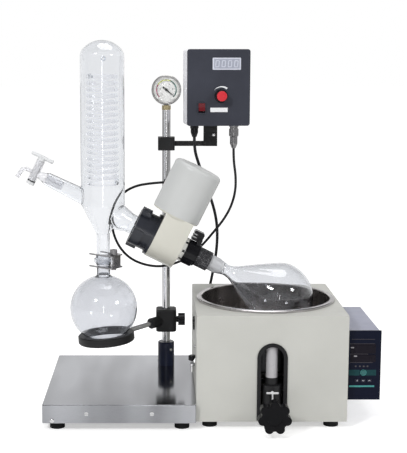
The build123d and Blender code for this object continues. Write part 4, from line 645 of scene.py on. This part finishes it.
def coil_tie():
    """A strap round the coil's turns: a rounded loop in the (radius, height) plane, swept by its width."""
    turn = np.linspace(0, 2 * pi, 49)
    loop = np.column_stack((np.cos(turn), np.sin(turn)))
    loop = loop / np.abs(loop).max(1, keepdims=True) ** TIE_SQUARENESS
    rows = []
    for side, proud in ((-1, 0.0), (-1, TIE_T), (1, TIE_T), (1, 0.0), (-1, 0.0)):
        reach = TIE_LOOP_R + loop[:, 0] * (TIE_LOOP_W + proud)
        height = np.maximum(TIE_LOOP_H + loop[:, 1] * (TIE_LOOP_H + proud), TIE_LIFT)
        rows.append(np.column_stack((reach, side * TIE_W / 2 + 0 * reach, height)))
    across, along = (cos(TIE_ANGLE), sin(TIE_ANGLE), 0), (-sin(TIE_ANGLE), cos(TIE_ANGLE), 0)
    strap = place(np.array(rows), axes((*COIL_CENTRE, 0), across, along))
    add_piece("coil_tie", [strap], "stand", RUBBER)


motor_lead = add_cord("motor_lead", MOTOR_CABLE_ROUTE, MOTOR_CABLE_R, ["motor_cable"])
mains_lead = add_cord("mains_lead", np.vstack((POWER_CORD_ROUTE, coil_route())), POWER_CORD_R,
                      ["power_cord", "power_cord_coil"])
coil_tie()


# Glass: profiles are pairs of (radius, height) along the piece's own axis, and splines have heights and radii

GLASS_WALL = 2.0
GLASS_SEGMENTS, GLASS_SHARP = 128, 50
PEAR_HEIGHTS = (130, 160, 205, 243)
PEAR_RADII = np.array((11.5, 24.5, 51.5, 66))
PEAR_END, PEAR_END_R = 73, 75
FLASK_LIP = (12.15, 72)
FLASK_MOUTH = [FLASK_LIP, (16, 72), (17, 73), (17, 75), (16, 76.5), (15.5, 78)]
FLASK_NECK = ((108, 130), (15.5, 11.5))
FLASK_CONE = ((106, 130), (10.55, 9.5))
BULB_Z, BULB_R, NECK_R, FILLET_R = 195.8, 66.0, 13.0, 6.0
BALL_Z, CUP_R = 295.0, 15.8
CUP_OUTSIDE = np.array(((CUP_R, 0), (18.3, 0), (18.3, -5), (17.6, -6.5), (13.6, -12), (13, -14)))
STOPCOCK_AT = -287.0
STOPCOCK_RING_R = (7.45, 8.2)
STOPCOCK_RING_Z = (-11.4, -9.5)
STOPCOCK_RING_EDGE = (0.3, 0.4)


def clamped_spline(knots, values, count):
    """A cubic through (knot, value) points with level ends: second derivatives from a tridiagonal system."""
    knots, values = np.array((knots, values), float)
    gap = np.diff(knots)
    rise = np.diff(values) / gap
    spans = np.append(gap, 0) + np.append(0, gap)
    matrix = np.diag(2 * spans) + np.diag(gap, 1) + np.diag(gap, -1)
    bend = np.linalg.solve(matrix, 6 * (np.append(rise, 0) - np.append(0, rise)))
    at = np.linspace(knots[0], knots[-1], count)
    i = np.clip(np.searchsorted(knots, at, "right") - 1, 0, len(gap) - 1)
    left, ahead = at - knots[i], knots[i + 1] - at
    curve = (bend[i] * ahead ** 3 + bend[i + 1] * left ** 3) / (6 * gap[i])
    curve += (values[i] / gap[i] - bend[i] * gap[i] / 6) * ahead
    curve += (values[i + 1] / gap[i] - bend[i + 1] * gap[i] / 6) * left
    return np.column_stack((curve, at))


def cap_profile(radius, spring, height, first_r, count=40):
    """Two tangent arcs from an upright wall at the spring line to the axis, as the solids' caps are drawn."""
    last_r = ((radius - first_r) ** 2 + height ** 2 - first_r ** 2) / (2 * (height - first_r))
    first = np.array((radius - first_r, spring))
    last = np.array((0.0, spring + height - last_r))
    between = first - last if last_r > first_r else last - first
    turn = np.degrees(np.arctan2(between[1], between[0]))
    return np.vstack((arc(first, first_r, 0, turn, count), arc(last, last_r, turn, 90, count)[1:]))


def pear_profile(inset):
    """The pear flask from its waist to its end: a clamped spline shoulder and a two-arc end."""
    radii = PEAR_RADII - inset
    shoulder = clamped_spline(PEAR_HEIGHTS, radii, 64)
    end = cap_profile(radii[-1], PEAR_HEIGHTS[-1], PEAR_END - inset, PEAR_END_R - inset)
    return np.vstack((shoulder, end[1:]))


def evaporating_flask():
    """The pear flask's wall: mouth bead, ground neck and pear outside, then the same way back inside."""
    neck = clamped_spline(*FLASK_NECK, 16)
    cone = clamped_spline(*FLASK_CONE, 12)
    outside = np.vstack((FLASK_MOUTH, neck, pear_profile(0)[1:]))
    inside = np.vstack((pear_profile(GLASS_WALL)[::-1], cone[::-1][1:], [FLASK_LIP]))
    wall = np.vstack((outside, inside))
    piece = add_turned("evaporating_flask_glass", wall, DRIVE, "rotor", FLASK_GLASS, "clear_glass",
                       GLASS_SEGMENTS, GLASS_SHARP)
    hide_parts("evaporating_flask")


def receiving_flask():
    """The round flask's wall: cup, neck, fillet and bulb outside, then bulb, neck and cup inside."""
    fillet_x = NECK_R + FILLET_R
    lean = asin(fillet_x / (BULB_R + FILLET_R))
    fillet_z = BULB_Z + (BULB_R + FILLET_R) * cos(lean)
    lean = np.degrees(lean)
    fillet = arc((fillet_x, fillet_z), FILLET_R, 180, 270 - lean, 10)
    bulb = arc((0, BULB_Z), BULB_R, 90 - lean, -90, 80)
    bore = NECK_R - GLASS_WALL
    inner_r = BULB_R - GLASS_WALL
    inner_lean = np.degrees(asin(bore / inner_r))
    seat = np.degrees(np.arccos(bore / CUP_R))
    outside = np.vstack((CUP_OUTSIDE + (0, BALL_Z), fillet, bulb[1:]))
    inside = np.vstack((arc((0, BULB_Z), inner_r, -90, 90 - inner_lean, 80),
                        arc((0, BALL_Z), CUP_R, -seat, 0, 12)))
    wall = np.vstack((outside, inside))
    piece = add_turned("receiving_flask_glass", wall, CONDENSER, "stand", RECEIVER_GLASS, "clear_glass",
                       GLASS_SEGMENTS, GLASS_SHARP)
    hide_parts("receiving_flask")


def stopcock_ring():
    """The black ring between the stopcock's barrel and the nut that holds its plug."""
    at = axes(DRIVE[1] + STOPCOCK_AT * np.array(AXIS_DOWN), (0, -1, 0), AXIS_DOWN)
    low, high = STOPCOCK_RING_Z
    inner, outer = STOPCOCK_RING_R
    in_by, up_by = STOPCOCK_RING_EDGE
    ring = [(inner, low), (outer - in_by, low), (outer, low + up_by), (outer, high - up_by),
            (outer - in_by, high), (inner, high), (inner, low)]
    add_turned("stopcock_ring", ring, at, "stopcock_key", RUBBER, "black_rubber", segments=40)


evaporating_flask()
receiving_flask()
stopcock_ring()


# Speed controller face

INK_GAP = 0.02
FILM_T = 0.12
WINDOW_AT = (15.5, 120)
WINDOW_Z, WINDOW_T = -0.95, 0.8
PANE_Z = WINDOW_Z + WINDOW_T
DIGIT_H, DIGIT_PITCH, DIGIT_STROKE = 13.5, 12.2, 1.7
SPEED_KNOB_AT = (4.5, 58)
# The crescent's inner and outer radii at its two ends, and their angles
CRESCENT = ((17.0, 16.6), (17.2, 20.4), 140, 50)
KNOB_CAP_GAP = 0.3
KNOB_CAP = [(0, 15.0), (9.6, 15.0), (9.9, 15.4), (9.9, 16.6), (9.2, 17.3), (6, 17.6), (0, 17.7)]

# Labels: name, (width, height, thickness, corner, edge), spots on the face, finish and slot
CONTROLLER_LABELS = (
    ("speed_window", (55.4, 23.4, WINDOW_T, 1.5, 0.4), [(*WINDOW_AT, WINDOW_Z)], WINDOW_FRAME, "grey_case"),
    ("speed_pane", (50, 18.4, FILM_T, 1.0, 0.05), [(*WINDOW_AT, PANE_Z)], WINDOW_PALE, "grey_case"),
    ("pale_strip", (34, 8.4, 0.25, 0.8, 0.1), [(0.8, 31.2)], WHITE_INK, "dial_white"),
)

# The bars that are lit in each digit that the display and the dial show, and the share of a bar that is lit
SEGMENTS = {"0": "abcdef", "1": "bc", "2": "abged", "4": "fgbc", "6": "afgedc", "8": "abcdefg"}
SEGMENT_SHARE = 0.86


def digit_lines(text, height, pitch, lean=0.08):
    """Bars of seven-segment digits about the origin, leaning a little to the right."""
    half, w = height / 2, height * 0.27
    bars = {"a": (-w, half, w, half), "b": (w, half, w, 0), "c": (w, 0, w, -half), "d": (-w, -half, w, -half),
            "e": (-w, 0, -w, -half), "f": (-w, half, -w, 0), "g": (-w, 0, w, 0)}
    lines = []
    for place_no, digit in enumerate(text):
        middle = (place_no - (len(text) - 1) / 2) * pitch
        for key in SEGMENTS[digit]:
            x0, y0, x1, y1 = np.array(bars[key]) * SEGMENT_SHARE
            lines.append((middle + x0 + lean * y0, y0, middle + x1 + lean * y1, y1))
    return lines


def controller_face():
    """A framed window with digits, a bare pale strip, a crescent over the knob and the red knob cap."""
    add_labels(CASE_FACE, CONTROLLER_LABELS)
    inset = moved(CASE_FACE, *WINDOW_AT, PANE_Z + FILM_T)
    digits = strokes(digit_lines("0000", DIGIT_H, DIGIT_PITCH), DIGIT_STROKE, FILM_T, inset)
    add_piece("speed_digits", digits, "stand", SEGMENT_GREY)
    crescent = band(*CRESCENT, FILM_T, moved(CASE_FACE, *SPEED_KNOB_AT, INK_GAP))
    add_piece("speed_scale", [crescent], "stand", WHITE_INK)
    knob = moved(CASE_FACE, *SPEED_KNOB_AT, KNOB_CAP_GAP)
    add_turned("speed_knob_cap", KNOB_CAP, knob, "speed_dial", RED, "red_switch", segments=64)


controller_face()


# Gauge dial

DIAL_INK_T = 0.08
DIAL_BAND_R = (18.7, 20.9)
DIAL_BANDS = (("red", (0.3, 0.045, 0.11), 225, 147), ("yellow", (0.56, 0.6, 0.16), 147, 66),
              ("green", (0.02, 0.12, 0.1), 66, -45))
DIAL_FIRST, DIAL_SPAN, DIAL_STEPS = 225, 270, 50
STEPS_PER_NUMBER, STEPS_PER_UNIT = 10, 5
TICK_R, TICK_LONG, TICK_SHORT, TICK_W = 18.2, 2.6, 1.4, 0.35
NUMBER_R, NUMBER_H, NUMBER_PITCH, NUMBER_STROKE = 12.6, 2.9, 2.4, 0.4


def gauge_print():
    """Three colour bands, scale ticks inside them and a number at each long tick."""
    face = moved(DIAL_FACE, 0, 0, INK_GAP)
    for name, colour, first, last in DIAL_BANDS:
        ink = printed(f"dial_{name}", colour)
        sector = band(*DIAL_BAND_R, first, last, DIAL_INK_T, face)
        add_piece(f"dial_band_{name}", [sector], "stand", ink)
    lines, numbers = [], []
    for i in range(DIAL_STEPS + 1):
        angle = radians(DIAL_FIRST - DIAL_SPAN * i / DIAL_STEPS)
        numbered = i % STEPS_PER_NUMBER == 0
        inner_r = TICK_R - (TICK_LONG if numbered else TICK_SHORT)
        lines.append((TICK_R * cos(angle), TICK_R * sin(angle), inner_r * cos(angle), inner_r * sin(angle)))
        if numbered:
            spot = moved(face, NUMBER_R * cos(angle), NUMBER_R * sin(angle))
            digits = digit_lines(str(i // STEPS_PER_UNIT), NUMBER_H, NUMBER_PITCH, 0)
            numbers += strokes(digits, NUMBER_STROKE, DIAL_INK_T, spot)
    add_piece("dial_ticks", strokes(lines, TICK_W, DIAL_INK_T, face), "stand", BLACK_INK)
    add_piece("dial_numbers", numbers, "stand", BLACK_INK)


gauge_print()


# Bath controller face

PANEL_WINDOW_T = 0.5
POWER_KEY_Z = 103.5
POWER_KEY_RING = [(5.0, 0), (5.8, 0), (5.8, 0.2), (5.0, 0.2), (5.0, 0)]
LAMP_SPOTS = [(x, 115.7) for x in (-14.5, -6.7, 0.3, 7.3)]
BAND_SPOTS = [(x, POWER_KEY_Z) for x in (-17.0, 13.5)]
MARK_SPOTS = [(-21.5, 151.5, PANEL_WINDOW_T), (-15.5, 135.2, PANEL_WINDOW_T)]
BATH_LABELS = (
    ("upper_window", (47, 18.0, PANEL_WINDOW_T, 1.0, 0.2), [(-1.5, 149.0)], DARK_WINDOW, "navy_paint"),
    ("lower_window", (47, 14.6, PANEL_WINDOW_T, 1.0, 0.2), [(-1.5, 131.0)], DARK_WINDOW, "navy_paint"),
    ("window_marks", (6, 2.4, FILM_T, 1.0, 0.05), MARK_SPOTS, MARK_GREY, "dial_white"),
    ("lamp_row", (3.4, 3.0, 0.3, 1.2, 0.1), LAMP_SPOTS, LINE_GREY, "dial_white"),
    ("teal_band", (20.5, 11, FILM_T, 0.6, 0.05), BAND_SPOTS, BAND_TEAL, "key_teal"),
    ("teal_stripe", (47, 3.2, 0.15, 0.5, 0.05), [(-2.5, 77.4)], TEAL_INK, "key_teal"),
)
PANEL_RULES = [(-23, 167.3, 20, 167.3), (-26, 158.7, 20, 158.7), (-26, 139.1, 8, 139.1),
               (-26, 122.7, 17, 122.7)]
RULE_W = 0.7
KEY_MARKS = {
    "set": [(0, -1.6, 0, 1.6)],
    "down": [(-1.7, 0.9, 0, -0.9), (0, -0.9, 1.7, 0.9)],
    "up": [(-1.7, -0.9, 0, 0.9), (0, 0.9, 1.7, -0.9)],
}
KEY_MARK_W, KEY_MARK_T = 1.0, 0.1


def bath_panel():
    """Two dark windows between thin rules, a row of lamps, the power key's teal ring and band, a stripe."""
    add_labels(BATH_PANEL_FACE, BATH_LABELS)
    rules = strokes(PANEL_RULES, RULE_W, FILM_T, BATH_PANEL_FACE)
    add_piece("panel_rules", rules, "stand", LINE_GREY)
    key = moved(BATH_PANEL_FACE, 0, POWER_KEY_Z)
    add_turned("power_key_ring", POWER_KEY_RING, key, "stand", TEAL_INK, "key_teal", segments=40)


def key_marks():
    """A pale bar, a down arrow and an up arrow, each on the front of its key."""
    for name, lines in KEY_MARKS.items():
        low, high = np.array(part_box(f"{name}_key")) / MM
        middle = (low + high) / 2
        marks = strokes(lines, KEY_MARK_W, KEY_MARK_T, front_face(middle[0], low[1], middle[2]))
        add_piece(f"{name}_mark", marks, f"{name}_button", KEY_INK)


bath_panel()
key_marks()


# Bath details: profiles of (radius, height), round heads of (radius, wall, dome), and spots on the left wall

BATH_WALL = axes((2, 0, 0), (0, -1, 0), (0, 0, 1))
SIDE_PLUG_AT, SIDE_SCREW_AT, TAP_AT = (11.5, 172), (47.4, 135.3), (60, 108)
SIDE_PLUG = [(0, 0), (13.5, 0), (13.5, 2.2), (12.6, 3.0), (10.5, 3.0), (9.6, 2.4), (0, 2.2)]
SIDE_SCREW = (3.2, 0.8, 1.4)
TAP_OUT, TAP_CAP_UP = 6.0, 3
TAP_NUT = [(0, 0), (9, 0), (9, 4), (6.5, 5), (6.5, 9), (0, 9)]
TAP_SPOUT = [(0, 0), (3.4, 0), (3.4, 3), (4.6, 4), (4.6, 8), (3.4, 9), (3.4, 20), (2.2, 20), (2.2, 14),
             (0, 14)]
TAP_CAP = [(0, 0), (6.2, 0), (7, 0.8), (7, 8), (6, 9.5), (0, 10)]
POST_COLLAR = [(11.15, 83.8), (12.2, 83.8), (12.2, 96), (11.8, 97), (11.15, 97), (11.15, 83.8)]
CLAMP_BAR = [(0, -0.6), (1.2, -0.4), (1.9, 0.5), (1.9, 21.5), (1.2, 22.4), (0, 22.6)]
CLAMP_PIN = [(0, 0), (1.1, 0.3), (1.5, 1.2), (1.5, 13.5), (0, 13.5)]
CLAMP_STEM = [(0, 0), (3, 0), (3, 5.5), (2.4, 6.4), (0, 6.6)]
POST_Y, CLAMP_Y, STEM_Y = -123.5, -146.6, -141.8
CLAMP_Z, PIN_Z, BAR_X = 72, 58, 131


def ball_end(radius, height, dome, count=8):
    """A profile that goes up a wall and rounds over to the axis, for screw heads and buttons."""
    angle = np.linspace(0, pi / 2, count)
    over = np.column_stack((radius * np.cos(angle), height + dome * np.sin(angle)))
    return np.vstack(([(0, 0), (radius, 0)], over))


def bath_side():
    """On the bath's left wall: a round plug with a dished face, a screw, and a small drain tap on a nut."""
    plug, screw, tap = (moved(BATH_WALL, *spot) for spot in (SIDE_PLUG_AT, SIDE_SCREW_AT, TAP_AT))
    add_turned("side_plug", SIDE_PLUG, plug, "stand", BLACK_PLASTIC, "black_plastic", segments=48)
    add_turned("side_screw", ball_end(*SIDE_SCREW), screw, "stand", STEEL, "polished_steel")
    add_turned("drain_nut", TAP_NUT, tap, "stand", CHROME, "polished_steel", segments=6, sharp=20)
    middle = moved(tap, 0, 0, TAP_OUT)[1]
    down = axes(middle, (1, 0, 0), (0, -1, 0))
    add_turned("drain_spout", TAP_SPOUT, down, "stand", CHROME, "polished_steel")
    top = moved(upright(*middle), 0, 0, TAP_CAP_UP)
    add_turned("drain_cap", TAP_CAP, top, "stand", BLACK_PLASTIC, "black_plastic")


def lift_details():
    """The collar on the lift post, and the bar, pin and stem of the clamp on the carriage's front."""
    x = BATH_AT[0]
    post = upright(x, POST_Y)
    add_turned("post_collar", POST_COLLAR, post, "bath_lift", BLACK_IRON, "black_iron", segments=48)
    clamp = (("clamp_bar", CLAMP_BAR, axes((BAR_X, CLAMP_Y, CLAMP_Z), (0, 1, 0), (0, 0, 1))),
             ("clamp_pin", CLAMP_PIN, upright(x, CLAMP_Y, PIN_Z)),
             ("clamp_stem", CLAMP_STEM, front_face(x, STEM_Y, CLAMP_Z)))
    # The clamp's bar, pin and stem are painted pale, as a painted glint
    for name, profile, at in clamp:
        add_turned(name, profile, at, "bath_lift", GLINT_PAINTED_STEEL, "polished_steel", segments=24)


# Stand fasteners: places along the skirt's front, and angles and heights on the socket

SKIRT = front_face(-283.3, -148.5, 0)
SKIRT_SPOTS = ((82.0, 33.0), (203.0, 33.0))
SKIRT_SCREW_R, SKIRT_SCREW_H = 3.6, 0.9
RIVET_AT, RIVET = (18.5, 19.7), (4.3, 0.4, 1.3)
SOCKET_R = 17.0
SOCKET_SPOTS = ((-55, 84.0), (-178, 60.0))
SOCKET_SCREW, SOCKET_SCREW_SUNK = (3.0, 0.6, 1.0), -0.3
BRACKET_FACE, BRACKET_SCREW = front_face(43, 120.5, 530), (3.4, 0.8, 1.6)


def screw_head(radius, height, at, slot_w=0.9):
    """A round head with a cross cut in it, as four quarter slabs that stand apart by the slot's width."""
    angle = np.linspace(0, pi / 2, 12)
    rim = np.column_stack((np.cos(angle), np.sin(angle))) * radius
    shape = np.vstack(([(0, 0)], rim, [(0, 0)]))
    middle = shape.mean(0)
    rows = np.array(((0, 0), (1, 0), (1, 0.7), (0.86, 1), (0, 1)))
    grids = []
    for quarter in range(4):
        turn = pi / 2 * quarter
        spin = np.array(((cos(turn), -sin(turn)), (sin(turn), cos(turn))))
        apart = spin @ np.array((slot_w, slot_w)) / 2
        grid = np.empty((len(rows), len(shape), 3))
        grid[..., :2] = [((shape - middle) * share + middle) @ spin.T + apart for share in rows[:, 0]]
        grid[..., 2] = (rows[:, 1] * height)[:, None]
        grids.append(place(grid, at))
    disc = lathe([(0, 0), (radius, 0), (radius, height * 0.45), (0, height * 0.45)], at, 32)
    return grids + [disc]


def fasteners():
    """The stand's rivet and screws, the socket's clamp screws, and the screw of the controller's bracket."""
    chrome = ("stand", CHROME, "polished_steel")
    add_turned("skirt_rivet", ball_end(*RIVET), moved(SKIRT, *RIVET_AT), *chrome, segments=40)
    for number, spot in enumerate(SKIRT_SPOTS):
        screw = screw_head(SKIRT_SCREW_R, SKIRT_SCREW_H, moved(SKIRT, *spot))
        add_piece(f"skirt_screw_{number}", screw, "stand", STEEL)
    for number, (angle, z) in enumerate(SOCKET_SPOTS):
        x, y = cos(radians(angle)), sin(radians(angle))
        wall = axes((COLUMN[0] + SOCKET_R * x, COLUMN[1] + SOCKET_R * y, z), (-y, x, 0), (0, 0, 1))
        at = moved(wall, 0, 0, SOCKET_SCREW_SUNK)
        add_turned(f"socket_screw_{number}", ball_end(*SOCKET_SCREW), at, *chrome)
    add_turned("bracket_screw", ball_end(*BRACKET_SCREW), BRACKET_FACE, *chrome)


bath_side()
lift_details()
fasteners()


# Floor, world and lamps, in metres

WORLD_LIGHT = 0.45
STUDIO_GREY = 0.29
STUDIO_STEPS = (("Z", 0.18, 0.5), ("Y", 0.1, -0.4))
FLOOR_REACH = 30.0
FLOOR_TONE, FLOOR_ROUGHNESS = 0.9, 0.8
FLOOR_TONES, FLOOR_CLOUDS = (0.89, 0.91), 3.0
FLOOR_LIFT_FROM, FLOOR_LIFT_TO = 0.4, 4.0
FLOOR_LIFT_NEAR, FLOOR_LIFT_FAR = 0.48, 0.64

# Lamps: name, place, the point that it faces, width, height and power
LAMPS = (
    ("key_lamp", (-1.3, -1.9, 1.9), (0, 0, 0.35), 0.45, 0.45, 32),
    ("fill_lamp", (1.7, -1.3, 1.2), (0, 0, 0.35), 0.45, 0.45, 10),
    ("top_lamp", (0.1, 0.3, 2.4), (0, 0, 0.3), 1.4, 1.4, 16),
    ("strip_lamp", (-0.1, -2.75, 0.5), (-0.1, 0, 0.5), 0.12, 1.1, 3),
)


def any_ray(near, *kinds):
    """One for rays of the given kinds of Light Path, and nought for the rest: the clamped sum of outputs."""
    path = node(near, "ShaderNodeLightPath")
    total = path.outputs[kinds[0]]
    for kind in kinds[1:]:
        total = operated(MATH, "ADD", total, path.outputs[kind], use_clamp=True)[0]
    return total


def blend(share, low, high):
    """The value low + share (high - low), where low and high are numbers or other nodes' outputs."""
    return node(share, "ShaderNodeMapRange", Value=share, To_Min=low, To_Max=high).outputs["Result"]


def add_floor():
    """A pale floor far larger than the view, lifted to white where it is seen, and more so further out."""
    corners = np.array((((-1, -1, 0), (1, -1, 0)), ((-1, 1, 0), (1, 1, 0))))
    mesh = mesh_of("floor", [corners * FLOOR_REACH])
    finish, shader, where = start_material("pale_floor", (FLOOR_TONE,) * 3, FLOOR_ROUGHNESS,
                                           Specular_IOR_Level=0.0, Emission_Color=(1, 1, 1, 1))
    reach = operated(VECTOR_MATH, "LENGTH", where)["Value"]
    lift = smooth_step(reach, FLOOR_LIFT_FROM, FLOOR_LIFT_TO, FLOOR_LIFT_NEAR, FLOOR_LIFT_FAR)
    seen = any_ray(shader, "Is Camera Ray", "Is Transmission Ray")
    wire(shader, Base_Color=ramp(noise(where, FLOOR_CLOUDS), *FLOOR_TONES),
         Emission_Strength=blend(seen, 0.0, lift))
    mesh.materials.append(finish)
    floor = add_object("floor", mesh)


def add_world():
    """A white surround for the camera and glass, a studio for mirrors, and a dimmer one for light.

    The studio is white low down behind the object and grey overhead and in front: the grey share is the
    larger of two smooth steps, one of the ray's rise and one of its reach to the front.
    """
    world = bpy.data.worlds.new("studio")
    bpy.context.scene.world = world
    world.use_nodes = True
    tree = world.node_tree
    ray = tree.nodes.new("ShaderNodeTexCoord").outputs["Generated"]
    split = node(ray, "ShaderNodeSeparateXYZ", Vector=ray)
    steps = [smooth_step(split.outputs[axis], start, stop) for axis, start, stop in STUDIO_STEPS]
    grey = operated(MATH, "MAXIMUM", *steps)[0]
    studio = blend(grey, 1.0, STUDIO_GREY)
    mirrored = blend(any_ray(ray, "Is Glossy Ray"), WORLD_LIGHT, studio)
    seen = any_ray(ray, "Is Camera Ray", "Is Transmission Ray")
    wire(tree.nodes["Background"], Color=(1, 1, 1, 1), Strength=blend(seen, mirrored, 1.0))


def add_lamp(name, place_at, look_at, width, height, power):
    """A soft lamp that faces a point: round where it is as wide as high, or else a rectangle."""
    data = bpy.data.lights.new(name, "AREA")
    data.shape = "ELLIPSE" if width == height else "RECTANGLE"
    data.size, data.size_y, data.energy = width, height, power
    back = np.subtract(place_at, look_at)
    back /= np.linalg.norm(back)
    side = np.cross((0, 0, 1), back)
    side /= np.linalg.norm(side)
    turn = np.eye(4)
    turn[:3, :3] = np.column_stack((side, np.cross(back, side), back))
    turn[:3, 3] = place_at
    add_object(name, data).matrix_world = Matrix(turn.tolist())


add_floor()
add_world()
for lamp in LAMPS:
    add_lamp(*lamp)
bpy.context.scene.view_settings.view_transform = "Standard"
